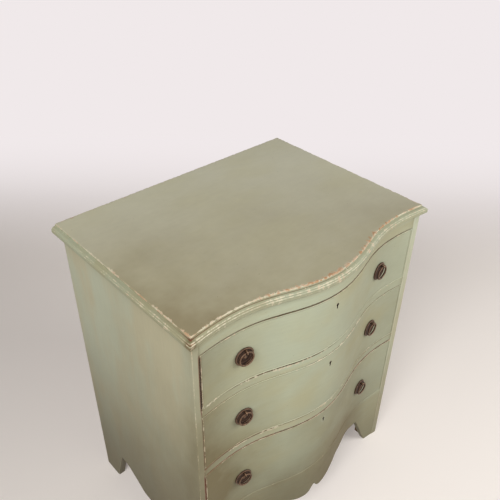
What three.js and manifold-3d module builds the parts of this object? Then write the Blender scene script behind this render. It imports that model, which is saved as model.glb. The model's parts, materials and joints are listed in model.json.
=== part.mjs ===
// Serpentine-front chest of three long drawers, painted, with ring pulls and bracket feet.
// Millimetres. X runs to the right as seen from the front, Y to the back and Z up.
// Plan places count from the line through the carcase's two front corners, heights from the floor.
import * as THREE from 'three';
import { mergeVertices } from 'three/addons/utils/BufferGeometryUtils.js';
import Module from 'manifold-3d';

// Carcase.
const caseWidth = 660;
const caseDepth = 442;
const sideThickness = 17;
const backThickness = 10;
const backRebate = 8;
const backBoardCount = 2;
const backBoardGap = 0.5;

// Heights up the front.
const apronHeight = 194.5;
const lowerOpening = 195.8;
const middleOpening = 162.9;
const upperOpening = 143.2;
const dividerThickness = 21.6;
const topRailHeight = 36.4;
const topThickness = 19.4;

// Serpentine plan: how far the front stands before the corner line, from the middle to the corner.
const serpentineCrown = 42.2;
const serpentineShares = [1, 0.919, 0.695, 0.376, 0.074, -0.104, -0.159, -0.115, 0];
const stationCount = 32;
const stationMargin = 3;
const slopeStep = 0.5;

// Moulded edge of the top, from its underside up: shares of the overhang and of the thickness.
const topOverhang = 9.8;
const topBackOverhang = 28.5;
const topEdgeShares = [
  [0.96, 0],
  [1, 0.26],
  [0.93, 0.28],
  [1, 0.3],
  [1, 0.44],
  [0.92, 0.51],
  [0.75, 0.54],
  [0.74, 0.6],
  [0.36, 0.69],
  [0, 0.72],
  [0, 0.93],
  [-0.14, 1],
];

// Clearances.
const joinGap = 0.3;
const runGap = 0.3;
const frontGapBelow = 0.9;
const frontGapRight = 0.8;
const upperGapAbove = 1.9;
const middleGapAbove = 0.9;
const lowerGapAbove = 1.5;
const upperGapLeft = 2.2;
const middleGapLeft = 1.1;
const lowerGapLeft = 1.7;
const cutOverrun = 6;

// Rails behind the serpentine face.
const topRailDepth = 32;
const dividerDepth = 60;
const backRailThickness = 20;
const kickerWidth = 22;
const runnerWidth = 36;
const bottomBoardThickness = 12;
const apronThickness = 15;

// Front feet and the shaped lower edge of the apron: shares of the half span and of the arch height.
const frontFootWidth = 49;
const frontArchHeight = 130.5;
const apronEdgeShares = [
  [0, 0.8],
  [0.018, 0.766],
  [0.039, 0.69],
  [0.064, 0.64],
  [0.1, 0.617],
  [0.149, 0.625],
  [0.206, 0.659],
  [0.249, 0.701],
  [0.288, 0.747],
  [0.327, 0.797],
  [0.363, 0.851],
  [0.399, 0.877],
  [0.441, 0.884],
  [0.484, 0.9],
  [0.523, 0.935],
  [0.562, 0.969],
  [0.605, 0.996],
  [0.64, 1],
  [0.694, 0.973],
  [0.747, 0.954],
  [0.783, 0.95],
  [0.808, 0.904],
  [1, 0],
];

// Side feet and the shaped lower edge of each side, in the same way.
const sideFootWidth = 58;
const sideArchHeight = 118;
const sideEdgeShares = [
  [0, 0.563],
  [0.08, 0.568],
  [0.15, 0.58],
  [0.2, 0.615],
  [0.245, 0.66],
  [0.32, 0.73],
  [0.393, 0.797],
  [0.466, 0.86],
  [0.54, 0.92],
  [0.613, 0.962],
  [0.687, 0.983],
  [0.742, 1],
  [0.779, 0.949],
  [1, 0],
];

// Glued blocks in the corners of the feet.
const blockSize = 28;
const blockFloorGap = 3;

// Drawers.
const frontThickness = 20;
const beadWidth = 3.2;
const beadProud = 1;
const drawerSideThickness = 9.5;
const drawerSideInset = 0.4;
const drawerSideDrop = 6;
const drawerBackThickness = 9.5;
const drawerBackDrop = 4;
const drawerBackClear = 12;
const drawerBottomThickness = 6;
const grooveDepth = 4;
const grooveRise = 8;
const stopWidth = 64;
const stopDepth = 20;
const stopHeight = 5;
const stopGap = 0.5;

// Half-blind dovetails between each drawer front and its sides: shares of their spacing.
const tailCount = 3;
const tailLength = 13;
const tailTipShare = 0.74;
const tailRootShare = 0.56;

// Locks and keyholes.
const keyholeOffset = 7;
const keyholeDrop = 30;
const keyholeRadius = 2.2;
const keyholeSlotWidth = 2;
const keyholeSlotLength = 6;
const lockWidth = 58;
const lockHeight = 36;
const lockDepth = 9;
const lockKeyDepth = 5;
const lockCentreDrop = 3;

// Ring pulls: a turned plate, an eye bolt run through the front with its nut on, and a swinging ring.
const pullPlaceShare = 0.655;
const upperPullRise = 71.6;
const middlePullRise = 82.6;
const lowerPullRise = 89.5;
const plateRadius = 22;
const plateHeight = 3.4;
const plateShares = [
  [0, 1],
  [0.2, 0.9],
  [0.3, 0.5],
  [0.42, 0.42],
  [0.78, 0.5],
  [0.86, 0.84],
  [0.95, 0.76],
  [1, 0.3],
  [1, 0],
];
const plateSides = 24;
const ringRadius = 16;
const ringWireRadius = 2.2;
const ringWireSides = 6;
const ringSteps = 24;
const eyeStand = 8.4;
const eyeRadius = 4.5;
const eyeHoleRadius = 3;
const eyeHalfWidth = 2.4;
const eyeSides = 16;
const boltRadius = 2.2;
const boltClear = 0.35;
const boltSides = 12;
const boltTail = 2;
const nutRadius = 5.2;
const nutThickness = 3.5;
const nutSides = 6;

// Sizes worked out from the ones above.
const halfCase = caseWidth / 2;
const halfOpening = halfCase - sideThickness;
const lowerFloor = apronHeight;
const middleFloor = lowerFloor + lowerOpening + dividerThickness;
const upperFloor = middleFloor + middleOpening + dividerThickness;
const railUnderside = upperFloor + upperOpening;
const topUnderside = railUnderside + topRailHeight;
const backFace = caseDepth - backThickness;
const bottomBoardUnderside = apronHeight - bottomBoardThickness;
const topBackEdge = caseDepth + topBackOverhang;
const drawerBackEnd = backFace - drawerBackClear;
const pullPlace = halfOpening * pullPlaceShare;

// Finishes.
const paint = () => new THREE.MeshStandardMaterial({ color: 0xb2b296, roughness: 0.62, metalness: 0 });
const topPaint = () => new THREE.MeshStandardMaterial({ color: 0xa49d82, roughness: 0.5, metalness: 0 });
const bareWood = () => new THREE.MeshStandardMaterial({ color: 0xb7976a, roughness: 0.8, metalness: 0 });
const oldWood = () => new THREE.MeshStandardMaterial({ color: 0x8d7350, roughness: 0.85, metalness: 0 });
const bronze = () => new THREE.MeshStandardMaterial({ color: 0x4a3629, roughness: 0.42, metalness: 0.85 });
const iron = () => new THREE.MeshStandardMaterial({ color: 0x5b5a57, roughness: 0.55, metalness: 0.9 });

// Solids.
const wasm = await Module();
wasm.setup();

const solid = (geometry) => {
  const bare = geometry.clone();
  bare.deleteAttribute('normal');
  bare.deleteAttribute('uv');
  const merged = mergeVertices(bare);
  const vertProperties = new Float32Array(merged.attributes.position.array);
  const triVerts = new Uint32Array(merged.index.array);
  return new wasm.Manifold(new wasm.Mesh({ numProp: 3, vertProperties, triVerts }));
};

const surface = (manifold) => {
  const mesh = manifold.getMesh();
  const geometry = new THREE.BufferGeometry();
  geometry.setAttribute('position', new THREE.BufferAttribute(mesh.vertProperties, 3));
  geometry.setIndex(new THREE.BufferAttribute(mesh.triVerts, 1));
  geometry.computeVertexNormals();
  return geometry;
};

const cut = (base, ...tools) => surface(tools.reduce((left, tool) => left.subtract(solid(tool)), solid(base)));
const join = (first, ...others) => surface(others.reduce((sum, other) => sum.add(solid(other)), solid(first)));

const box = (x0, x1, y0, y1, z0, z1) => {
  const geometry = new THREE.BoxGeometry(x1 - x0, y1 - y0, z1 - z0);
  return geometry.translate((x0 + x1) / 2, (y0 + y1) / 2, (z0 + z1) / 2);
};

// An outline in plan, raised from low to high.
const prism = (outline, low, high) => {
  const shape = new THREE.Shape(outline.map(([a, b]) => new THREE.Vector2(a, b)));
  const geometry = new THREE.ExtrudeGeometry(shape, { depth: high - low, bevelEnabled: false });
  return geometry.translate(0, 0, low);
};

const unitX = new THREE.Vector3(1, 0, 0);
const unitY = new THREE.Vector3(0, 1, 0);
const unitZ = new THREE.Vector3(0, 0, 1);
const towardsX = new THREE.Matrix4().makeBasis(unitY, unitZ, unitX);
const towardsFront = new THREE.Matrix4().makeBasis(unitX, unitZ, unitY.clone().negate());

// An outline of depth and height, run across the chest; an outline of width and height, run through it.
const crossPrism = (outline, left, right) => prism(outline, left, right).applyMatrix4(towardsX);
const throughPrism = (outline, near, far) => prism(outline, -far, -near).applyMatrix4(towardsFront);

const rodAlongX = (radius, length, sides) => {
  return new THREE.CylinderGeometry(radius, radius, length, sides).rotateZ(Math.PI / 2);
};
const rodAlongY = (radius, from, to, sides) => {
  return new THREE.CylinderGeometry(radius, radius, to - from, sides).translate(0, (from + to) / 2, 0);
};

// The serpentine line that the top, rails, drawers and apron share.
const shareSteps = serpentineShares.length - 1;
const rightPlaces = serpentineShares.map((share, i) => halfCase * (i / shareSteps));
const rightDepths = serpentineShares.map((share) => -serpentineCrown * share);
const places = [...rightPlaces.slice(1).reverse().map((x) => -x), ...rightPlaces];
const depths = [...rightDepths.slice(1).reverse(), ...rightDepths];
const planCurve = new THREE.CubicInterpolant(places, depths, 1);
const front = (x) => planCurve.evaluate(x)[0];

const slope = (x) => {
  const before = Math.max(x - slopeStep, -halfCase);
  const after = Math.min(x + slopeStep, halfCase);
  const start = front(before);
  return (front(after) - start) / (after - before);
};

const stations = (from, to) => {
  const shared = Array.from({ length: stationCount + 1 }, (_, i) => caseWidth * (i / stationCount) - halfCase);
  const between = shared.filter((x) => x > from + stationMargin && x < to - stationMargin);
  return [from, ...between, to];
};

// A plan outline with a serpentine front, set back by inset, and a straight or parallel back.
const straightBacked = (from, to, inset, back) => {
  const near = stations(from, to).map((x) => [x, front(x) + inset]);
  return [...near, [to, back], [from, back]];
};
const parallelBacked = (from, to, inset, thickness) => {
  const near = stations(from, to).map((x) => [x, front(x) + inset]);
  const far = near.map(([x, y]) => [x, y + thickness]);
  return [...near, ...far.reverse()];
};

// The open space under a shaped edge, mirrored about its middle.
const archOutline = (middle, halfSpan, height, shares) => {
  const right = shares.map(([along, up]) => [middle + halfSpan * along, height * up]);
  const left = shares.slice(1).map(([along, up]) => [middle - halfSpan * along, height * up]);
  const floorRight = [middle + halfSpan, -cutOverrun];
  const floorLeft = [middle - halfSpan, -cutOverrun];
  return [...left.reverse(), ...right, floorRight, floorLeft];
};

const mirrorX = (outline) => outline.map(([x, y]) => [-x, y]).reverse();

const origin = new THREE.Group();
const chest = new THREE.Group();
chest.position.y = (serpentineCrown + topOverhang - topBackEdge) / 2;
origin.add(chest);

const part = (name, geometry, material, parent = chest) => {
  const mesh = new THREE.Mesh(geometry, material);
  mesh.name = name;
  parent.add(mesh);
  return mesh;
};

// Top board: one closed skin through the rings of its moulded edge, mitred at the front corners.
const topRing = ([reachShare, riseShare]) => {
  const reach = topOverhang * reachShare;
  const height = topUnderside + topThickness * riseShare;
  const side = halfCase + reach;
  const edge = stations(-halfCase, halfCase).map((x) => {
    const tangent = new THREE.Vector2(1, slope(x)).normalize();
    const point = new THREE.Vector2(x + tangent.y * reach, front(x) - tangent.x * reach);
    if (Math.abs(x) === halfCase) {
      point.addScaledVector(tangent, (Math.sign(x) * side - point.x) / tangent.x);
    }
    return [point.x, point.y, height];
  });
  return [...edge, [side, topBackEdge, height], [-side, topBackEdge, height]];
};

const loft = (rings) => {
  const count = rings[0].length;
  const triangles = [];
  for (let level = 0; level + 1 < rings.length; level += 1) {
    for (let i = 0; i < count; i += 1) {
      const here = level * count + i;
      const next = level * count + ((i + 1) % count);
      triangles.push(here, next, next + count, here, next + count, here + count);
    }
  }
  const cap = (ring) => {
    const contour = ring.map(([x, y]) => new THREE.Vector2(x, y));
    return THREE.ShapeUtils.triangulateShape(contour, []);
  };
  cap(rings[0]).forEach(([a, b, c]) => triangles.push(a, c, b));
  const last = (rings.length - 1) * count;
  cap(rings[rings.length - 1]).forEach(([a, b, c]) => triangles.push(last + a, last + b, last + c));
  const geometry = new THREE.BufferGeometry();
  geometry.setAttribute('position', new THREE.Float32BufferAttribute(rings.flat(2), 3));
  geometry.setIndex(triangles);
  geometry.computeVertexNormals();
  return geometry;
};

part('top', loft(topEdgeShares.map(topRing)), topPaint());

// Sides, each with its front edge on the serpentine, a rebate for the back and its two feet.
const sideTop = topUnderside - joinGap;
const sideSpan = caseDepth / 2 - sideFootWidth;
const sideArch = archOutline(caseDepth / 2, sideSpan, sideArchHeight, sideEdgeShares);
const sideArchReach = halfCase + cutOverrun;
const sidePlan = [
  ...stations(halfOpening, halfCase).map((x) => [x, front(x)]),
  [halfCase, caseDepth],
  [halfOpening + backRebate, caseDepth],
  [halfOpening + backRebate, backFace],
  [halfOpening, backFace],
];
const sideTool = () => crossPrism(sideArch, -sideArchReach, sideArchReach);
part('side_right', cut(prism(sidePlan, 0, sideTop), sideTool()), paint());
part('side_left', cut(prism(mirrorX(sidePlan), 0, sideTop), sideTool()), paint());

// Back boards, laid across in the rebates.
const backReach = halfOpening + backRebate - joinGap;
const backHeight = sideTop - bottomBoardUnderside;
const backBoardHeight = (backHeight - backBoardGap * (backBoardCount - 1)) / backBoardCount;
for (let i = 0; i < backBoardCount; i += 1) {
  const low = bottomBoardUnderside + i * (backBoardHeight + backBoardGap);
  const board = box(-backReach, backReach, backFace + joinGap, caseDepth, low, low + backBoardHeight);
  part(`back_board_${i + 1}`, board, oldWood());
}

// Rails, dividers, apron and the board behind it.
const railReach = halfOpening - joinGap;
const across = (inset, back) => straightBacked(-railReach, railReach, inset, back);
part('top_rail', prism(across(0, topRailDepth), railUnderside, sideTop), paint());
part('divider_upper', prism(across(0, dividerDepth), upperFloor - dividerThickness, upperFloor), paint());
part('divider_lower', prism(across(0, dividerDepth), middleFloor - dividerThickness, middleFloor), paint());

const apronSpan = halfCase - frontFootWidth;
const apronArch = archOutline(0, apronSpan, frontArchHeight, apronEdgeShares);
const apronBoard = prism(parallelBacked(-railReach, railReach, 0, apronThickness), 0, apronHeight);
const apronNear = -serpentineCrown - cutOverrun;
const apronTool = throughPrism(apronArch, apronNear, apronThickness + serpentineCrown + cutOverrun);
part('apron', cut(apronBoard, apronTool), paint());

const boardFront = apronThickness + joinGap;
const bottomPlan = across(boardFront, backFace - joinGap);
part('bottom_board', prism(bottomPlan, bottomBoardUnderside, apronHeight), oldWood());

const backRailFront = backFace - joinGap - backRailThickness;
const backRail = box(-railReach, railReach, backRailFront, backFace - joinGap, railUnderside, sideTop);
part('back_rail', backRail, oldWood());

[['left', -1], ['right', 1]].forEach(([hand, sign]) => {
  const between = (outer, width) => [sign * (outer - width), sign * outer].sort((a, b) => a - b);
  const [kick0, kick1] = between(railReach, kickerWidth);
  const kickerEnd = backRailFront - joinGap;
  const kicker = box(kick0, kick1, topRailDepth + joinGap, kickerEnd, railUnderside, sideTop);
  part(`kicker_${hand}`, kicker, oldWood());
  const [run0, run1] = between(railReach, runnerWidth);
  const runner = (floor) => {
    return box(run0, run1, dividerDepth + joinGap, backFace - joinGap, floor - dividerThickness, floor);
  };
  part(`runner_upper_${hand}`, runner(upperFloor), oldWood());
  part(`runner_lower_${hand}`, runner(middleFloor), oldWood());
  const [block0, block1] = between(railReach, blockSize);
  const blockTop = bottomBoardUnderside - joinGap;
  const blockBack = boardFront + blockSize;
  const frontBlock = straightBacked(block0, block1, boardFront, blockBack);
  part(`foot_block_front_${hand}`, prism(frontBlock, blockFloorGap, blockTop), oldWood());
  const backBlock = box(block0, block1, backFace - blockSize, backFace, blockFloorGap, blockTop);
  part(`foot_block_back_${hand}`, backBlock, oldWood());
});

// A stop behind the middle of each drawer front.
const stopOutline = parallelBacked(-stopWidth / 2, stopWidth / 2, frontThickness + stopGap, stopDepth);
const stop = (name, floor) => {
  const low = floor + joinGap;
  part(name, prism(stopOutline, low, low + stopHeight), oldWood());
};
stop('stop_upper', upperFloor);
stop('stop_middle', middleFloor);
stop('stop_lower', lowerFloor);

// Where the surface of a drawer front lies furthest forward under a plate, in the pull's own frame.
const plateSeat = (x, turn) => {
  const reach = plateRadius * Math.cos(turn);
  const outward = stations(x - reach, x + reach).map((place) => {
    return (front(place) - front(x)) * Math.cos(turn) - (place - x) * Math.sin(turn);
  });
  return Math.min(...outward) - joinGap;
};

const plateGeometry = (seat) => {
  const profile = plateShares.map(([out, up]) => new THREE.Vector2(plateRadius * out, plateHeight * up));
  const turned = new THREE.LatheGeometry([new THREE.Vector2(0, 0), ...profile.reverse()], plateSides);
  const lying = turned.rotateX(Math.PI).translate(0, seat, 0);
  const clear = boltRadius + boltClear;
  const hole = rodAlongY(clear, seat - plateHeight - cutOverrun, seat + cutOverrun, boltSides);
  return cut(lying, hole.translate(0, 0, ringRadius));
};

const eyeBoltGeometry = (eyePlace, nutSeat) => {
  const eye = rodAlongX(eyeRadius, eyeHalfWidth * 2, eyeSides).translate(0, eyePlace, 0);
  const hole = rodAlongX(eyeHoleRadius, (eyeHalfWidth + cutOverrun) * 2, boltSides).translate(0, eyePlace, 0);
  const shankStart = eyePlace + (eyeRadius + eyeHoleRadius) / 2;
  const nutEnd = nutSeat + nutThickness;
  const shank = rodAlongY(boltRadius, shankStart, nutEnd + boltTail, boltSides);
  const nut = rodAlongY(nutRadius, nutSeat, nutEnd, nutSides);
  return join(cut(eye, hole), shank, nut).translate(0, 0, ringRadius);
};

const ringGeometry = (eyePlace) => {
  const ring = new THREE.TorusGeometry(ringRadius, ringWireRadius, ringWireSides, ringSteps);
  return ring.rotateX(Math.PI / 2).translate(0, eyePlace, 0);
};

// Drawers.
const keyholeTool = (height, near, far) => {
  const eye = rodAlongY(keyholeRadius, near, far, boltSides).translate(keyholeOffset, 0, height);
  const half = keyholeSlotWidth / 2;
  const slot = box(keyholeOffset - half, keyholeOffset + half, near, far, height - keyholeSlotLength, height);
  return surface(solid(eye).add(solid(slot)));
};

// Tails in depth and height, wider at the tip, or with clear added their sockets.
const tailOutlines = (low, high, tip, root, clear) => {
  const spacing = (high - low) / tailCount;
  const tipHalf = (spacing * tailTipShare) / 2 + clear;
  const rootHalf = (spacing * tailRootShare) / 2 + clear;
  return Array.from({ length: tailCount }, (_, i) => {
    const middle = low + (spacing * (i + i + 1)) / 2;
    return [
      [tip - clear, middle - tipHalf],
      [root, middle - rootHalf],
      [root, middle + rootHalf],
      [tip - clear, middle + tipHalf],
    ];
  });
};

const drawer = ({ name, floor, opening, pullRise, gapAbove, gapLeft }) => {
  const low = floor + frontGapBelow;
  const high = floor + opening - gapAbove;
  const [leftReach, rightReach] = [gapLeft, frontGapRight].map((gap) => halfOpening - gap);
  const [leftOuter, rightOuter] = [leftReach, rightReach].map((reach) => reach - drawerSideInset);
  const [leftInner, rightInner] = [leftOuter, rightOuter].map((outer) => outer - drawerSideThickness);
  const sideLow = floor + runGap;
  const sideHigh = high - drawerSideDrop;
  const panelLow = sideLow + grooveRise;
  const panelHigh = panelLow + drawerBottomThickness;

  const fieldDeep = beadProud + cutOverrun;
  const field = parallelBacked(beadWidth - leftReach, rightReach - beadWidth, -fieldDeep, fieldDeep);
  const blank = parallelBacked(-leftReach, rightReach, -beadProud, beadProud + frontThickness);
  const grooveInset = frontThickness - grooveDepth;
  const grooveEnds = [-leftInner - grooveDepth, rightInner + grooveDepth];
  const groove = parallelBacked(...grooveEnds, grooveInset, grooveDepth + cutOverrun);

  const keyHeight = high - keyholeDrop;
  const lockBack = front(keyholeOffset) + frontThickness;
  const lockFront = lockBack - lockDepth;
  const lockHigh = keyHeight + lockHeight / 2 - lockCentreDrop;
  const lockLow = lockHigh - lockHeight;
  const lockLeft = keyholeOffset - lockWidth / 2;
  const lockRight = keyholeOffset + lockWidth / 2;
  const recess = box(
    lockLeft - joinGap,
    lockRight + joinGap,
    lockFront - joinGap,
    lockBack + cutOverrun,
    lockLow - joinGap,
    lockHigh + joinGap,
  );
  const keyhole = keyholeTool(keyHeight, -serpentineCrown - cutOverrun, lockFront);

  const drillings = [];
  [['left', -pullPlace], ['right', pullPlace]].forEach(([hand, x]) => {
    const turn = Math.atan(slope(x));
    const pull = new THREE.Group();
    pull.position.set(x, front(x), floor + pullRise);
    pull.rotation.z = turn;
    pull.updateMatrix();
    chest.add(pull);
    const seat = plateSeat(x, turn);
    const eyePlace = seat - eyeStand;
    part(`${name}_plate_${hand}`, plateGeometry(seat), bronze(), pull);
    part(`${name}_eye_bolt_${hand}`, eyeBoltGeometry(eyePlace, frontThickness + joinGap), bronze(), pull);
    part(`${name}_ring_${hand}`, ringGeometry(eyePlace), bronze(), pull);
    const drill = rodAlongY(boltRadius + boltClear, -cutOverrun, frontThickness + cutOverrun, boltSides);
    drillings.push(drill.translate(0, 0, ringRadius).applyMatrix4(pull.matrix));
  });

  const tailTip = front(rightOuter) + frontThickness - tailLength;
  const tailRoot = front(rightInner) + frontThickness + cutOverrun;
  const tails = tailOutlines(sideLow, sideHigh, tailTip, tailRoot, 0);
  const sockets = tailOutlines(sideLow, sideHigh, tailTip, tailRoot, joinGap).flatMap((outline) => [
    crossPrism(outline, rightInner - joinGap, halfOpening),
    crossPrism(outline, -halfOpening, joinGap - leftInner),
  ]);

  const fieldTool = prism(field, low + beadWidth, high - beadWidth);
  const grooveTool = prism(groove, panelLow - joinGap, panelHigh + joinGap);
  const frontTools = [fieldTool, grooveTool, recess, keyhole, ...drillings, ...sockets];
  part(`${name}_front`, cut(prism(blank, low, high), ...frontTools), paint());

  const lockBox = box(lockLeft, lockRight, lockFront, lockBack, lockLow, lockHigh);
  const lockKey = keyholeTool(keyHeight, lockFront - cutOverrun, lockFront + lockKeyDepth);
  part(`${name}_lock`, cut(lockBox, lockKey), iron());

  const side = (from, to, grooveFrom, grooveTo) => {
    const plan = straightBacked(from, to, frontThickness + joinGap, drawerBackEnd);
    const grooveEnd = drawerBackEnd + cutOverrun;
    const grooved = box(grooveFrom, grooveTo, 0, grooveEnd, panelLow - joinGap, panelHigh + joinGap);
    const board = join(prism(plan, sideLow, sideHigh), ...tails.map((tail) => crossPrism(tail, from, to)));
    return cut(board, grooved);
  };
  const leftSide = side(-leftOuter, -leftInner, -leftInner - grooveDepth, cutOverrun - leftInner);
  const rightSide = side(rightInner, rightOuter, rightInner - cutOverrun, rightInner + grooveDepth);
  part(`${name}_side_left`, leftSide, bareWood());
  part(`${name}_side_right`, rightSide, bareWood());

  const panelEnds = [joinGap - leftInner - grooveDepth, rightInner + grooveDepth - joinGap];
  const panel = straightBacked(...panelEnds, grooveInset + joinGap, drawerBackEnd);
  part(`${name}_bottom`, prism(panel, panelLow, panelHigh), bareWood());

  const backNear = drawerBackEnd - drawerBackThickness;
  const backLow = panelHigh + joinGap;
  const backHigh = sideHigh - drawerBackDrop;
  const back = box(joinGap - leftInner, rightInner - joinGap, backNear, drawerBackEnd, backLow, backHigh);
  part(`${name}_back`, back, bareWood());
};

drawer({
  name: 'drawer_1',
  floor: upperFloor,
  opening: upperOpening,
  pullRise: upperPullRise,
  gapAbove: upperGapAbove,
  gapLeft: upperGapLeft,
});
drawer({
  name: 'drawer_2',
  floor: middleFloor,
  opening: middleOpening,
  pullRise: middlePullRise,
  gapAbove: middleGapAbove,
  gapLeft: middleGapLeft,
});
drawer({
  name: 'drawer_3',
  floor: lowerFloor,
  opening: lowerOpening,
  pullRise: lowerPullRise,
  gapAbove: lowerGapAbove,
  gapLeft: lowerGapLeft,
});

export default origin;
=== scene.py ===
"""Painted serpentine chest of three drawers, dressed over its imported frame."""

import json
import logging
import math
import re
from collections.abc import Callable
from dataclasses import dataclass, field, replace
from enum import Enum
from functools import cached_property

import bmesh
import bpy
import numpy as np
from mathutils import Matrix, Vector


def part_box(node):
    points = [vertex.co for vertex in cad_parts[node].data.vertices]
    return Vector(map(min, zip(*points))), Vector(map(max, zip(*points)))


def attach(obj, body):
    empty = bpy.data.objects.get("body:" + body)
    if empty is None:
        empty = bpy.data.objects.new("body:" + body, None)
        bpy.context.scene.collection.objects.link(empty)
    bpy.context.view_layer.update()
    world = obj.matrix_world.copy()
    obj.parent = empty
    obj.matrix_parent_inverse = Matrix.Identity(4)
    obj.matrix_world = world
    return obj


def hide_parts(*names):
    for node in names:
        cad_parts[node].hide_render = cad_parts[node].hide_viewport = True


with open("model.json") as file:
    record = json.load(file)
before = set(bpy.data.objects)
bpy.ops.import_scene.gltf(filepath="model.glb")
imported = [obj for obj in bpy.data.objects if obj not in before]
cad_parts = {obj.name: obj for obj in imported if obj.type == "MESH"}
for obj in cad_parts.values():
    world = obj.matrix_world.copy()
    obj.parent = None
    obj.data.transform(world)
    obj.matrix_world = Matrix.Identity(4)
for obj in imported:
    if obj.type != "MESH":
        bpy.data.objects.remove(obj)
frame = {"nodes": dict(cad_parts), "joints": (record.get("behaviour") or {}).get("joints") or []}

Array = np.ndarray
Material = bpy.types.Material
Shade = tuple[float, float, float, float]
Place = Callable[[Array, Array, Array], Array]

LOG = logging.getLogger("chest")

MM = 0.001
EDGE_STEPS = (0.0003, 0.0008, 0.0015, 0.003, 0.006, 0.012, 0.022)
RAYS = ("Is Camera Ray", "Is Glossy Ray", "Is Transmission Ray")
BLACK = (0.0, 0.0, 0.0, 1.0)
GIVE_WAY = 0.35  # share of a step within which a station makes room for a wanted one


class Hand(Enum):
    """The two ends of a drawer, as signs along X."""

    LEFT = -1
    RIGHT = 1


class Grain(Enum):
    """The way that the grain of a bare board runs, as stretches along X, Y and Z."""

    ACROSS = (0.05, 1.0, 1.0)
    INWARD = (1.0, 0.05, 1.0)
    UPRIGHT = (1.0, 1.0, 0.05)


def colour(red: int, green: int, blue: int) -> Shade:
    """A screen colour from 0 to 255 as the linear colour that a shader takes."""
    shares = (value / 255 for value in (red, green, blue))
    return (*(s / 12.92 if s <= 0.04045 else ((s + 0.055) / 1.055) ** 2.4 for s in shares), 1.0)


PALE_WALL = colour(240, 233, 234)


# Node trees ---------------------------------------------------------------------------------


def maths(operation: str, swapped: bool = False) -> Callable[["Wire", "Wire | float"], "Wire"]:
    """Make a method of Wire that adds one Math node.

    Args:
        operation: what the node works out.
        swapped: whether the wire is the second value, as in a reflected operator.

    Returns:
        The method.
    """

    def act(self: "Wire", other: "Wire | float") -> "Wire":
        """Result of the operation on this value and another."""
        pair = (other, self) if swapped else (self, other)
        return self.graph.wire("ShaderNodeMath", {"operation": operation}, dict(enumerate(pair)))

    return act


class Wire:
    """An output socket that takes part in Python expressions."""

    __add__, __radd__ = maths("ADD"), maths("ADD", True)
    __sub__, __rsub__ = maths("SUBTRACT"), maths("SUBTRACT", True)
    __mul__, __rmul__ = maths("MULTIPLY"), maths("MULTIPLY", True)
    __truediv__, __rtruediv__ = maths("DIVIDE"), maths("DIVIDE", True)
    at_most, at_least = maths("MINIMUM"), maths("MAXIMUM")

    def __init__(self, graph: "Graph", socket: bpy.types.NodeSocket) -> None:
        """Keep the socket and the graph that it belongs to."""
        self.graph = graph
        self.socket = socket

    def rising(self, low: float, high: float) -> "Wire":
        """A smooth step from 0 at low to 1 at high, which falls where low is the higher."""
        settings = {"interpolation_type": "SMOOTHSTEP"}
        return self.graph.wire("ShaderNodeMapRange", settings, {0: self, 1: low, 2: high})


Tint = Wire | Shade


class Graph:
    """A node tree that is filled through one method."""

    def __init__(self, tree: bpy.types.NodeTree) -> None:
        """Empty the tree and keep it."""
        tree.nodes.clear()
        self.tree = tree

    def node(self, kind: str, settings: dict | None = None, inputs: dict | None = None) -> bpy.types.Node:
        """Add a node, set it up and connect it.

        Args:
            kind: type name of the node.
            settings: its properties.
            inputs: values or wires, by socket name or number.

        Returns:
            The new node.
        """
        made = self.tree.nodes.new(kind)
        for key, value in (settings or {}).items():
            setattr(made, key, value)
        for key, value in (inputs or {}).items():
            if isinstance(value, Wire):
                self.tree.links.new(value.socket, made.inputs[key])
            else:
                made.inputs[key].default_value = value
        return made

    def wire(self, kind: str, settings: dict | None, inputs: dict | None, output: str | int = 0) -> Wire:
        """Add a node and return one of its outputs as a wire."""
        return Wire(self, self.node(kind, settings, inputs).outputs[output])

    def blend(self, share: Wire | float, first: Tint, second: Tint, how: str = "MIX") -> Wire:
        """Mix two colours, where the share is that of the second one."""
        settings = {"data_type": "RGBA", "blend_type": how, "clamp_factor": True}
        return self.wire("ShaderNodeMix", settings, {0: share, 6: first, 7: second}, 2)

    def seen(self) -> Wire:
        """Tell the rays that show a surface to the eye from those that only carry its light on.

        Returns:
            1 for the first, 0 for the others.
        """
        path = self.node("ShaderNodeLightPath")
        camera, glossy, passed = (Wire(self, path.outputs[name]) for name in RAYS)
        return camera.at_least(glossy).at_least(passed)


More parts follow.
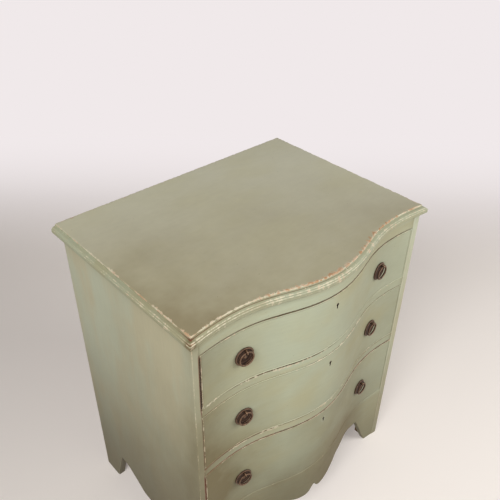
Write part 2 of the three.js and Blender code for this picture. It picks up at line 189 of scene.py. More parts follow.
class Shades(Graph):
    """The node tree of one material."""

    def __init__(self, name: str) -> None:
        """Make the material and read the object coordinates.

        Args:
            name: name of the material.
        """
        self.material = bpy.data.materials.new(name)
        self.material.use_nodes = True
        super().__init__(self.material.node_tree)
        self.place = self.wire("ShaderNodeTexCoord", None, None, "Object")

    def stored(self, name: str) -> Wire:
        """A value that the mesh carries for each point."""
        return self.wire("ShaderNodeAttribute", {"attribute_name": name}, None, "Fac")

    def stretched(self, scale: tuple[float, ...]) -> Wire:
        """Object coordinates, scaled along each axis."""
        return self.wire("ShaderNodeMapping", None, {"Vector": self.place, "Scale": scale})

    def noise(self, scale: float, detail: float = 2.0, rough: float = 0.5, at: Wire | None = None,
              bend: float = 0.0) -> Wire:
        """Fractal noise from about 0 to 1.

        Args:
            scale: cells per metre.
            detail: number of finer layers.
            rough: strength of each finer layer.
            at: where the noise is read, if not at the object coordinates.
            bend: how much the noise is bent by itself.

        Returns:
            The noise value.
        """
        inputs = {"Vector": at or self.place, "Scale": scale, "Detail": detail, "Roughness": rough}
        return self.wire("ShaderNodeTexNoise", None, {**inputs, "Distortion": bend})

    def grey(self, value: Wire) -> Wire:
        """A grey of that value."""
        return self.wire("ShaderNodeCombineColor", None, {0: value, 1: value, 2: value})

    def relief(self, height: Wire, distance: float) -> Wire:
        """A bumped normal from a height between 0 and 1."""
        return self.wire("ShaderNodeBump", None, {"Height": height, "Distance": distance, "Strength": 0.5})

    def finish(self, sockets: dict[str, Wire | float]) -> Material:
        """Close the tree with its surface shader.

        Args:
            sockets: values or wires of the surface shader.

        Returns:
            The finished material.
        """
        surface = self.wire("ShaderNodeBsdfPrincipled", None, sockets)
        self.node("ShaderNodeOutputMaterial", None, {"Surface": surface})
        return self.material


class Shapes(Graph):
    """A geometry node tree with named inputs, run once on a start object."""

    KINDS = {float: "NodeSocketFloat", int: "NodeSocketInt", Material: "NodeSocketMaterial"}

    def __init__(self, name: str, **sizes: float | int | Material) -> None:
        """Make the tree and one named input for each size.

        Args:
            name: name of the tree.
            sizes: inputs with the values that they take.
        """
        self.group = bpy.data.node_groups.new(name, "GeometryNodeTree")
        super().__init__(self.group)
        face = self.group.interface
        face.new_socket(name="Geometry", in_out="INPUT", socket_type="NodeSocketGeometry")
        face.new_socket(name="Geometry", in_out="OUTPUT", socket_type="NodeSocketGeometry")
        self.values = {}
        for key, value in sizes.items():
            kind = next(k for t, k in self.KINDS.items() if isinstance(value, t))
            socket = face.new_socket(name=key, in_out="INPUT", socket_type=kind)
            self.values[socket.identifier] = value
        self.entry = self.tree.nodes.new("NodeGroupInput")

    def given(self, name: str) -> Wire:
        """One of the tree's named inputs."""
        return Wire(self, self.entry.outputs[name])

    def bake(self, start: bpy.types.Object, name: str, last: Wire) -> bpy.types.Object:
        """Close the tree, run it on the start object and keep the result as a plain mesh.

        Args:
            start: object whose geometry enters the tree.
            name: name of the new piece.
            last: geometry that leaves the tree, to be given the input Finish as its material.

        Returns:
            The baked mesh object.
        """
        real = self.wire("GeometryNodeRealizeInstances", None, {"Geometry": last})
        inputs = {"Geometry": real, "Material": self.given("Finish")}
        dressed = self.wire("GeometryNodeSetMaterial", None, inputs)
        self.node("NodeGroupOutput", None, {"Geometry": dressed})
        modifier = start.modifiers.new("shape", "NODES")
        modifier.node_group = self.group
        for identifier, value in self.values.items():
            modifier[identifier] = value
        bpy.context.view_layer.update()
        graph = bpy.context.evaluated_depsgraph_get()
        mesh = bpy.data.meshes.new_from_object(start.evaluated_get(graph))
        mesh.name = name
        bpy.data.objects.remove(start)
        return linked(name, mesh)


def linked(name: str, data: bpy.types.ID) -> bpy.types.Object:
    """Make an object of some data and put it into the scene.

    Args:
        name: name of the object.
        data: its mesh, curve, lamp or camera.

    Returns:
        The object.
    """
    made = bpy.data.objects.new(name, data)
    bpy.context.scene.collection.objects.link(made)
    return made


# Finishes -----------------------------------------------------------------------------------


@dataclass(frozen=True)
class PaintFinish:
    """Old layered paint, rubbed through at the arrises, with glaze and painted shade in the corners."""

    name: str
    sage: Shade
    khaki: Shade
    olive: Shade = colour(120, 110, 78)
    shade: Shade = colour(96, 88, 62)
    cream: Shade = colour(216, 208, 181)
    blush: Shade = colour(208, 178, 148)
    rust: Shade = colour(184, 136, 96)
    glaze: Shade = colour(88, 72, 46)
    ember: Shade = colour(112, 62, 44)
    deep_shade: Shade = colour(30, 20, 12)
    streak: tuple[float, ...] = (9.0, 9.0, 2.6)
    streak_shift: float = 0.0
    brush: tuple[float, ...] = (230.0, 230.0, 20.0)
    brush_depth: float = 0.12
    # Height and strength of the darkening towards the floor, partly grime and partly painted shade.
    grime_height: float = 0.36
    grime_share: float = 0.6
    rub: float = 0.35
    rub_width: float = 0.0028
    ragged: float = 1.0
    blush_shift: float = 0.0
    gloss: float = 0.5

    def material(self) -> Material:
        """Layers from the ground up: paint, olive tint and darkening towards the floor that are partly
        painted shade, brush marks, glaze and painted shade in corners, rubbed edges, near-black painted
        shade.

        Returns:
            The paint material.
        """
        tree = Shades(self.name)
        edge, grime, rubbed, wash = (tree.stored(name) for name in ("edge", "grime", "rub", "wash"))

        cloud = tree.noise(4.5, 3.0, 0.55)
        streaks = tree.noise(1.6, 3.0, 0.6, tree.stretched(self.streak), 0.3)
        patch = (0.5 * cloud + 0.62 * streaks + self.streak_shift).rising(0.44, 0.68)
        body = tree.blend(patch, self.sage, self.khaki)

        fine = tree.noise(55.0, 4.0, 0.6)
        drift = tree.noise(11.0, 3.0, 0.6)
        # Olive tint, partly a real wash and partly painted shade where the surfaces face away from the light.
        body = tree.blend(wash * (0.6 + 0.8 * drift), body, self.olive)
        # Darker towards the floor: partly grime, partly painted shade for the light that falls off low down.
        if self.grime_height > 0:
            height = tree.wire("ShaderNodeSeparateXYZ", None, {0: tree.place}, "Z")
            low = (height + 0.14 * (cloud - 0.5)).rising(self.grime_height, 0.02)
            body = tree.blend(self.grime_share * low, body, self.shade)

        brush = tree.noise(1.0, 4.0, at=tree.stretched(self.brush))
        tone = 1.0 + self.brush_depth * (brush - 0.5) + 0.06 * (fine - 0.5)
        body = tree.blend(1.0, body, tree.grey(tone), "MULTIPLY")

        speck = (tree.noise(240.0) + 0.12 * drift).rising(0.78, 0.84)
        body = tree.blend(0.35 * speck, body, self.glaze)

        # Glaze in corners and joints, together with painted shade in gaps, hollows and under overhangs.
        glaze_and_shade = (grime * (0.7 + 0.6 * fine)).rising(0.05, 0.95)
        body = tree.blend(glaze_and_shade, body, tree.blend(wash, self.glaze, self.ember))

        patches = tree.noise(21.0)
        chips = tree.noise(190.0, 3.0, 0.65)
        flakes = (3.4 * self.ragged * (chips - 0.5) + 0.65).at_least(0.0)
        spread = (2.6 * self.ragged * (patches - 0.5) + 0.85).at_least(0.0)
        reach = (self.rub * 2.0) * rubbed * spread * flakes
        worn = (reach - edge / self.rub_width).rising(0.0, 0.35)
        deeper = self.blush_shift * (1.0 + 3.0 * (rubbed - 1.2).at_least(0.0).at_most(1.0))
        bare = tree.blend((0.7 * chips + 0.5 * drift + deeper).rising(0.6, 0.8), self.cream, self.blush)
        bare = tree.blend((0.6 * fine + 0.6 * drift + deeper).rising(0.68, 0.84), bare, self.rust)
        body = tree.blend(0.85 * worn, body, bare)
        # Near-black painted shade where the value passes 1: inside the keyhole and in the deepest gaps.
        body = tree.blend(grime.rising(1.05, 1.6), body, self.deep_shade)

        rough = self.gloss + 0.14 * fine + 0.12 * worn + 0.1 * glaze_and_shade
        normal = tree.relief(0.5 * brush + 0.35 * fine - 0.5 * worn + 0.2 * cloud, 0.0003)
        sockets = {"Base Color": body, "Roughness": rough, "Normal": normal}
        return tree.finish({**sockets, "Specular IOR Level": 0.4})


@dataclass(frozen=True)
class PineFinish:
    """Bare softwood with growth lines, knots and the darkening of age."""

    name: str
    grain: Grain
    light: Shade = colour(206, 170, 120)
    dark: Shade = colour(158, 112, 66)
    stain: Shade = colour(112, 80, 50)
    age: float = 0.3

    def material(self) -> Material:
        """Growth lines from stretched noise, pores, stains and a dull surface.

        Returns:
            The wood material.
        """
        tree = Shades(self.name)
        place = tree.stretched(self.grain.value)
        drift = tree.noise(7.0, at=place)
        rings = 46.0 * drift + 9.0 * tree.noise(1.7, at=place)
        lines = tree.wire("ShaderNodeMath", {"operation": "PINGPONG"}, {0: rings, 1: 1.0})
        pores = tree.noise(1.0, 3.0, 0.6, tree.stretched(tuple(220 * s for s in self.grain.value)))
        body = tree.blend(0.75 * (0.8 * lines + 0.25 * pores).rising(0.2, 1.0), self.light, self.dark)
        knot = tree.wire("ShaderNodeTexVoronoi", None, {"Vector": place, "Scale": 6.5}, "Distance")
        body = tree.blend(0.8 * knot.rising(0.11, 0.05), body, self.stain)
        cloud = tree.noise(6.0, 4.0, 0.6)
        body = tree.blend(self.age + 0.5 * cloud.rising(0.45, 0.75), body, self.stain)
        body = tree.blend(0.5 * pores.rising(0.62, 0.8), body, self.stain)
        normal = tree.relief(0.6 * pores + 0.4 * lines, 0.0004)
        sockets = {"Base Color": body, "Roughness": 0.72 + 0.16 * pores, "Normal": normal}
        return tree.finish({**sockets, "Specular IOR Level": 0.3})


@dataclass(frozen=True)
class MetalFinish:
    """Dark old metal, rubbed brighter where hands and edges meet."""

    name: str
    dark: Shade = colour(61, 38, 24)
    bright: Shade = colour(138, 109, 84)
    crust: Shade = colour(31, 18, 10)
    metallic: float = 0.55
    rough: float = 0.42

    def material(self) -> Material:
        """Patina in layers, with the rub that the mesh carries.

        Returns:
            The metal material.
        """
        tree = Shades(self.name)
        rub = tree.stored("rub")
        blotch = tree.noise(220.0, 3.0, 0.6)
        pits = tree.noise(900.0, 2.0, 0.6)
        body = tree.blend((rub * (0.1 + 1.6 * blotch)).rising(0.35, 1.1), self.dark, self.bright)
        body = tree.blend(0.8 * (blotch + 0.2 * pits).rising(0.58, 0.76), body, self.crust)
        rough = self.rough + 0.25 * blotch + 0.1 * pits - 0.12 * rub
        normal = tree.relief(0.6 * blotch + 0.4 * pits, 0.0002)
        metallic = self.metallic - 0.35 * blotch.rising(0.55, 0.8)
        sockets = {"Base Color": body, "Metallic": metallic, "Roughness": rough}
        return tree.finish({**sockets, "Normal": normal})


@dataclass(frozen=True)
class StageFinish:
    """Plain pale floor and wall, which send a softer light back than they show."""

    name: str
    floor: Shade = colour(232, 225, 219)
    floor_glow: Shade = colour(118, 113, 109)
    floor_bounce: Shade = colour(146, 126, 108)
    wall_bounce: Shade = colour(214, 208, 206)

    def material(self) -> Material:
        """A matt floor, and a wall that shows its own pale colour.

        Returns:
            The stage material.
        """
        tree = Shades(self.name)
        wall, seen = tree.stored("wall"), tree.seen()
        shown = wall * seen
        bounce = tree.blend(wall, self.floor_bounce, self.wall_bounce)
        body = tree.blend(shown, tree.blend(seen, bounce, self.floor), BLACK)
        glow = tree.blend(shown, tree.blend(seen, BLACK, self.floor_glow), PALE_WALL)
        sockets = {"Base Color": body, "Emission Color": glow, "Emission Strength": 1.0}
        return tree.finish({**sockets, "Roughness": 0.9, "Specular IOR Level": 0.0})


# Meshes -------------------------------------------------------------------------------------


def unit(values: Array | float) -> Array:
    """Values held between 0 and 1."""
    return np.clip(values, 0, 1)


def fade(away: Array | float, reach: float) -> Array:
    """Share that falls off with the distance, to a third of it at the reach."""
    return np.exp(-away / reach)


def hump(away: Array | float, reach: float, power: int = 2) -> Array:
    """Share that stays high near 0 on both sides and is gone past the reach."""
    return np.exp(-((away / reach) ** power))


def spread(x: Array, half: float, shares: tuple[float, ...]) -> Array:
    """Shares at even stations from -half to half, read at places across the chest."""
    return np.interp(x, np.linspace(-half, half, len(shares)), shares)


class Skin:
    """Points, faces and wear values of one piece, before they become a mesh."""

    def __init__(self) -> None:
        """Start empty."""
        self.points: list[Array] = []
        self.values: dict[str, list[Array]] = {"edge": [], "grime": [], "rub": [], "wash": []}
        self.faces: list[tuple[int, ...]] = []
        self.marks: list[int] = []
        self.count = 0

    def add(self, points: Array, *wear: float | Array) -> Array:
        """Add an array of points, of any shape, with its wear values.

        Args:
            points: places, with X, Y and Z last.
            wear: distance from the nearest arris, glaze and painted shade in corners and gaps (0 to 1, and
            near-black painted shade up to 2), how much the place is rubbed, and share of the olive tint,
            partly painted shade; each may be left out.

        Returns:
            The numbers of the new points, in the same shape.
        """
        shape = points.shape[:-1]
        total = int(np.prod(shape))
        numbers = np.arange(self.count, self.count + total).reshape(shape)
        self.points.append(points.reshape(-1, 3))
        given = (*wear, *(1.0, 0.0, 1.0, 0.0)[len(wear) :])
        for parts, value in zip(self.values.values(), given):
            parts.append(np.broadcast_to(np.asarray(value, float), shape).reshape(-1))
        self.count += total
        return numbers

    def sheet(self, numbers: Array, turned: bool = False, mark: int = 0) -> None:
        """Fill a grid of points with quads.

        Args:
            numbers: point numbers, in rows and columns.
            turned: whether the faces look the other way.
            mark: material number of the faces.
        """
        a, b = numbers[:-1, :-1].ravel(), numbers[1:, :-1].ravel()
        c, d = numbers[1:, 1:].ravel(), numbers[:-1, 1:].ravel()
        rows = np.stack((a, d, c, b) if turned else (a, b, c, d), -1)
        self.faces += map(tuple, rows.tolist())
        self.marks += [mark] * len(a)

    def band(self, first: Array, second: Array, turned: bool = False, mark: int = 0) -> None:
        """Join two closed loops of points."""
        self.sheet(np.stack([np.append(loop, loop[0]) for loop in (first, second)]), turned, mark)

    def bands(self, loops: list[Array], mark: int = 0) -> None:
        """Join each closed loop of points to the next one."""
        for first, second in zip(loops, loops[1:]):
            self.band(first, second, False, mark)

    def cap(self, loop: Array, turned: bool = False, mark: int = 0) -> None:
        """Close a loop with one face."""
        self.faces.append(tuple((loop[::-1] if turned else loop).tolist()))
        self.marks.append(mark)

    def solid(self, loops: list[Array], mark: int = 0) -> None:
        """Join loops of points in order and close both ends.

        Args:
            loops: numbers of the points, loop by loop.
            mark: material number of the faces.
        """
        self.bands(loops, mark)
        self.cap(loops[0], True, mark)
        self.cap(loops[-1], False, mark)

    def piece(self, name: str, materials: list[Material], sharp: float = 35.0) -> bpy.types.Object:
        """Make the mesh object.

        Args:
            name: name of the piece.
            materials: materials that the marks count.
            sharp: angle in degrees above which an edge stays sharp.

        Returns:
            The linked object.
        """
        mesh = bpy.data.meshes.new(name)
        mesh.from_pydata(np.concatenate(self.points).tolist(), [], self.faces)
        mesh.polygons.foreach_set("material_index", self.marks)
        for key, parts in self.values.items():
            store(mesh, key, np.concatenate(parts))
        for material in materials:
            mesh.materials.append(material)
        mesh.update()
        tidy_mesh(mesh)
        mesh.shade_smooth()
        mesh.set_sharp_from_angle(angle=math.radians(sharp))
        return linked(name, mesh)


def store(mesh: bpy.types.Mesh, name: str, values: Array) -> None:
    """Keep one value for each point on a mesh."""
    layer = mesh.attributes.get(name) or mesh.attributes.new(name, "FLOAT", "POINT")
    layer.data.foreach_set("value", np.asarray(values, np.float32))


def tidy_mesh(mesh: bpy.types.Mesh) -> None:
    """Merge doubled points and turn every face outwards.

    Args:
        mesh: mesh that is changed.
    """
    work = bmesh.new()
    work.from_mesh(mesh)
    bmesh.ops.remove_doubles(work, verts=work.verts, dist=1e-7)
    bmesh.ops.recalc_face_normals(work, faces=work.faces)
    work.to_mesh(mesh)
    work.free()


def settle(piece: bpy.types.Object, body: str, slot: str, *nodes: str) -> None:
    """Tie a finished piece to its body and hide the CAD nodes that it stands for.

    Args:
        piece: finished mesh object.
        body: body that it moves with.
        slot: material slot of the record, which is not used.
        nodes: CAD nodes that it stands for.
    """
    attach(piece, body)
    if nodes:
        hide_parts(*nodes)
    LOG.info("%s: %d faces, on %s", piece.name, len(piece.data.polygons), body)


def distances(points: Array, outline: Array, batch: int = 2000) -> Array:
    """Distance from each point to a closed outline.

    Args:
        points: places in the plane, one a row.
        outline: corners of the outline, in order.
        batch: points that are worked on at a time.

    Returns:
        One distance for each point.
    """
    along = np.roll(outline, -1, axis=0) - outline
    length = np.maximum((along**2).sum(1), 1e-18)
    best = np.full(len(points), np.inf)
    for first in range(0, len(points), batch):
        offset = points[first : first + batch, None] - outline[None]
        share = unit((offset * along).sum(2) / length)
        gap = offset - share[..., None] * along
        best[first : first + batch] = np.sqrt((gap**2).sum(2).min(1))
    return best


def graded(
    low: float, high: float, step: float, fine: tuple[float, ...], extra: tuple[float, ...] = ()
) -> Array:
    """Stations that crowd towards both ends.

    Args:
        low: first station.
        high: last station.
        step: spacing in the middle.
        fine: distances from each end that get a station.
        extra: further stations that are wanted, which drop those of the middle beside them.

    Returns:
        The stations in order.
    """
    near = [d for d in fine if d < 0.4 * (high - low)]
    count = max(2, int(round((high - low - 2 * near[-1]) / step)))
    middle = np.linspace(low + near[-1], high - near[-1], count + 1)
    kept = [m for m in middle if all(abs(m - e) > GIVE_WAY * step for e in extra)]
    places = [low, high, *(low + d for d in near), *(high - d for d in near), *kept, *extra]
    return np.unique(np.round(places, 7))


def ripple(x: Array, y: Array, seed: int, waves: int = 11) -> Array:
    """Uneven values from 0 to 1 that change over 6 to 30 mm, for dents and patchy wear.

    Args:
        x: first place of each point.
        y: second place of each point.
        seed: number that fixes the pattern.
        waves: number of waves that are added up.

    Returns:
        One value for each point.
    """
    random = np.random.default_rng(seed)
    total = np.zeros(np.broadcast(x, y).shape)
    for _ in range(waves):
        turn, wave, start = (random.uniform(*span) for span in ((0, 2 * math.pi), (0.006, 0.03), (0, 6.3)))
        total += np.sin((x * math.cos(turn) + y * math.sin(turn)) * 2 * math.pi / wave + start)
    return unit(0.5 + total / 6)


def hermite(p: Array, start: Array, leaving: Array, end: Array, reaching: Array) -> Array:
    """A cubic at the shares p, from start to end, with the rises that it has there."""
    return (
        (2 * p**3 - 3 * p**2 + 1) * start
        + (p**3 - 2 * p**2 + p) * leaving
        + (-2 * p**3 + 3 * p**2) * end
        + (p**3 - p**2) * reaching
    )


def smooth_outline(pairs: tuple, corners: tuple[int, ...]) -> Callable[[Array], Array]:
    """A smooth line through outline points that stays sharp at some of them.

    Args:
        pairs: places and heights, in order.
        corners: numbers of the points that stay sharp.

    Returns:
        A function from places to heights.
    """
    place, height = np.array(pairs).T
    step = np.diff(place)
    slope = np.diff(height) / step
    before = np.concatenate([slope[:1], slope])
    after = np.concatenate([slope, slope[-1:]])
    both = np.where(before + after == 0, 1, before + after)
    inner = np.where(before * after > 0, 2 * before * after / both, 0.0)
    sharp = np.isin(np.arange(len(place)), corners)
    left, right = np.where(sharp, before, inner), np.where(sharp, after, inner)

    def height_at(where: Array) -> Array:
        """Height of the outline at each place.

        Args:
            where: places.

        Returns:
            The heights.
        """
        i = np.clip(np.searchsorted(place, where, side="right") - 1, 0, len(step) - 1)
        p = unit((where - place[i]) / step[i])
        return hermite(p, height[i], step[i] * right[i], height[i + 1], step[i] * left[i + 1])

    return height_at


@dataclass
class Serpentine:
    """Plan curve that the top, rails, drawer fronts and apron share."""

    half_case: float = 0.330
    crown: float = 0.0422
    shares: tuple[float, ...] = (1, 0.919, 0.695, 0.376, 0.074, -0.104, -0.159, -0.115, 0)
    corner_line: float = field(default_factory=lambda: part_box("side_left")[0].y)
    reach: float = 0.0005

    def front(self, x: Array | float) -> Array:
        """How far back the face stands at each place across the chest.

        Args:
            x: places across the chest.

        Returns:
            Y of the face at those places.
        """
        depths = -self.crown * np.array(self.shares)
        half = len(self.shares) - 1
        step = self.half_case / half
        line = np.concatenate([depths[::-1][:-1], depths])
        rise = step * np.gradient(line, step)
        along = np.clip((np.asarray(x, float) + self.half_case) / step, 0, 2 * half)
        i = np.minimum(along.astype(int), 2 * half - 1)
        return self.corner_line + hermite(along - i, line[i], rise[i], line[i + 1], rise[i + 1])

    def slope(self, x: Array) -> Array:
        """Slope of the face in plan."""
        before, after = (np.clip(x + d, -self.half_case, self.half_case) for d in (-self.reach, self.reach))
        return (self.front(after) - self.front(before)) / (after - before)


@dataclass(frozen=True)
class EdgeWear:
    """Dirt and painted shade in the joint beside an edge, and paint lost from its arris, at even stations
    across the chest.
    """

    joint: tuple[float, ...]
    arris: tuple[float, ...]

    def at(self, x: Array, half: float) -> tuple[Array, Array]:
        """The two shares at places across the chest, half of which the stations span each way."""
        return spread(x, half, self.joint), spread(x, half, self.arris)


@dataclass(frozen=True)
class Wear:
    """Wear values of some points on a face; inner is the dirt and painted shade at the far end of an edge."""

    grime: Array
    rub: Array
    wash: Array
    joint: Array | float = 0.0
    inner: Array | float = 0.0


def quarter_round(radius: Array | float, edge: Array) -> Array:
    """How far a rounded arris falls back at each distance from the edge."""
    inside = np.clip(radius - edge, 0, None)
    return radius - np.sqrt(np.maximum(radius**2 - inside**2, 0))


@dataclass
class Board:
    """Upright board with a rounded arris, whose lower edge may be shaped.

    The function place turns station, height and depth into a place in space, and wear turns station, height
    and distance from the arris into wear values. A hole or recess has a left, right, lower and upper edge.
    """

    along: Array
    low: Array
    high: float
    thickness: float
    round: float
    row_step: float
    place: Place
    wear: Callable[[Array, Array, Array], Wear]
    bevels: tuple[float, ...] = EDGE_STEPS
    extra_rows: tuple[float, ...] = ()
    rim_steps: tuple[float, ...] = (0.0022, 0.006, 0.012)
    far_steps: tuple[float, ...] = (0.0034, 0.0017, 0.0002)
    bare_from: float = 0.006
    painted_back: float = 0.0
    hole: tuple[float, ...] = ()
    hole_outline: Callable[[Array], Array] | None = None
    # Keyhole from the face in: swell of the outline, depth, distance from the arris, glaze and painted shade,
    # and rub; past the rubbed rim the bore is painted near-black as the shade inside the hole.
    hole_rings: tuple[tuple[float, ...], ...] = (
        (1.75, 0.0, 0.0, 0.1, 1.1), (1.3, 0.0, 1.0, 1.5, 0.0), (1.0, 0.0, 1.0, 1.9, 0.0),
        (1.0, 0.0006, 1.0, 1.6, 0.0), (1.0, 0.004, 1.0, 2.0, 0.0), (1.0, 0.0102, 1.0, 2.0, 0.0),
    )
    recess: tuple[float, ...] = ()
    recess_floor: float = 0.0
    slack: float = 1e-6

    @cached_property
    def height(self) -> Array:
        """Heights of the grid.

        Returns:
            One row for each height and one column for each station.
        """
        low, high = self.low, self.high
        near = [d for d in self.bevels if d < 0.42 * (high - low.max())]
        last = near[-1]
        middle = max(1, int(round((high - low.min() - 2 * last) / self.row_step)))
        reach = np.minimum(last * np.sqrt(1 + np.gradient(low, self.along) ** 2), 0.45 * (high - low))
        bottom, top = low + reach, high - last
        if self.extra_rows:
            free = np.linspace(low[0] + last, top, middle + 1)[1:-1]
            clear = GIVE_WAY * self.row_step
            free = [z for z in free if all(abs(z - e) > clear for e in self.extra_rows)]
            inner = sorted([*free, *self.extra_rows])
        else:
            inner = [bottom + (top - bottom) * (k / middle) for k in range(1, middle)]
        rows = [low, *(low + reach * (d / last) for d in near), *inner, top]
        rows += [*(high - d for d in reversed(near[:-1])), high]
        return np.stack([np.broadcast_to(row, low.shape) for row in rows])

    @cached_property
    def spots(self) -> Array:
        """Station and height of each point of the grid, one a row."""
        return np.stack([np.broadcast_to(self.along, self.height.shape), self.height], -1).reshape(-1, 2)

    def skin(self) -> Skin:
        """Face, back and edges of the board: material 0 is its paint and 1 its bare wood.

        Returns:
            The finished skin.
        """
        height = self.height
        along = np.broadcast_to(self.along, height.shape)
        loop = self.border(*height.shape)
        edge = distances(self.spots, self.spots[loop]).reshape(height.shape)
        worn = self.wear(along, height, edge)
        made = Skin()
        front = self.place(along, height, quarter_round(self.round, edge))
        face = made.add(front, edge, worn.grime, worn.rub, worn.wash)
        back = made.add(self.place(along, height, np.full_like(height, self.thickness)))
        self.fill(made, face, False)
        self.fill(made, back, True)

        u, z = self.spots[loop].T
        rim = self.wear(u, z, np.zeros_like(u))
        steps = [self.round, self.round + 0.0004, *self.rim_steps]
        steps = [d for d in steps if d < 0.8 * self.thickness]
        if np.max(rim.inner) > 0:
            steps += [self.thickness - d for d in self.far_steps]
        start = face.ravel()[loop]
        for d in steps:
            # Walls of the edge take glaze and painted shade from the joint, and the far side of a gap the
            # inner value.
            joint, rub = (0.7, 0.6) if d <= self.round else (1.0, 0.15)
            dirt_and_shade = rim.inner if d > self.thickness - 0.002 else rim.joint * joint
            points = self.place(u, z, np.full_like(u, d))
            ring = made.add(points, d - self.round, np.maximum(rim.grime, dirt_and_shade), rim.rub * rub, rim.wash)
            made.band(start, ring, True, int(d > self.bare_from))
            start = ring
        made.band(start, back.ravel()[loop], True, int(self.thickness > self.bare_from))
        if self.hole:
            self.bore(made, face)
        if self.recess:
            self.pocket(made, back)
        return made

    @staticmethod
    def border(rows: int, columns: int) -> Array:
        """Numbers of a grid's border, anticlockwise from its first point.

        Args:
            rows: rows of the grid.
            columns: columns of the grid.

        Returns:
            The numbers.
        """
        grid = np.arange(rows * columns).reshape(rows, columns)
        return np.concatenate([grid[0], grid[1:, -1], grid[-1, -2::-1], grid[-2:0:-1, 0]])

    def fill(self, made: Skin, grid: Array, turned: bool) -> None:
        """Fill a face of the board, leaving the cells of its opening out.

        Args:
            made: skin that gets the faces.
            grid: point numbers of the face.
            turned: whether the face is the back, which is bare but for a painted strip.
        """
        before = len(made.faces)
        made.sheet(grid.T, turned, int(turned))
        x, z = ((line[:-1] + line[1:]) / 2 for line in (self.along, self.height[:, 0]))
        if turned and self.painted_back > 0:
            painted = np.repeat(x < self.along[0] + self.painted_back, len(z))
            made.marks[before:] = (~painted).astype(int).tolist()
        opening = self.recess if turned else self.hole
        if opening:
            x0, x1, z0, z1 = opening
            is_open = (((x > x0) & (x < x1))[:, None] & ((z > z0) & (z < z1))[None, :]).ravel()
            made.faces[before:] = [face for face, gap in zip(made.faces[before:], is_open) if not gap]
            del made.marks[len(made.faces) :]

    def around(self, opening: tuple[float, ...]) -> Array:
        """Numbers of the grid points round an opening, anticlockwise.

        Args:
            opening: the hole or the recess.

        Returns:
            The numbers.
        """
        x0, x1, z0, z1 = opening
        columns = np.flatnonzero((self.along >= x0 - self.slack) & (self.along <= x1 + self.slack))
        heights = self.height[:, 0]
        rows = np.flatnonzero((heights >= z0 - self.slack) & (heights <= z1 + self.slack))
        block = rows[:, None] * len(self.along) + columns
        return block.ravel()[self.border(*block.shape)]

    def bore(self, made: Skin, face: Array) -> None:
        """Line the open cells with a rim and a hole that ends inside the board.

        Args:
            made: skin that gets the hole.
            face: point numbers of the face.
        """
        ring = self.around(self.hole)
        centre = np.array(self.hole).reshape(2, 2).mean(1)
        outline = self.hole_outline(self.spots[ring] - centre)
        last = face.ravel()[ring]
        for swell, depth, *wear in self.hole_rings:
            x, z = (outline * swell + centre).T
            deeper = made.add(self.place(x, z, np.full_like(x, depth)), *wear)
            made.band(last, deeper)
            last = deeper
        made.cap(last)

    def pocket(self, made: Skin, back: Array) -> None:
        """Line the recess in the back down to its flat floor.

        Args:
            made: skin that gets the recess.
            back: point numbers of the back.
        """
        ring = self.around(self.recess)
        x, z = self.spots[ring].T
        floor = made.add(np.stack([x, np.full_like(x, self.recess_floor), z], -1))
        made.band(back.ravel()[ring], floor, True, 1)
        made.cap(floor, False, 1)


# Carcase ------------------------------------------------------------------------------------


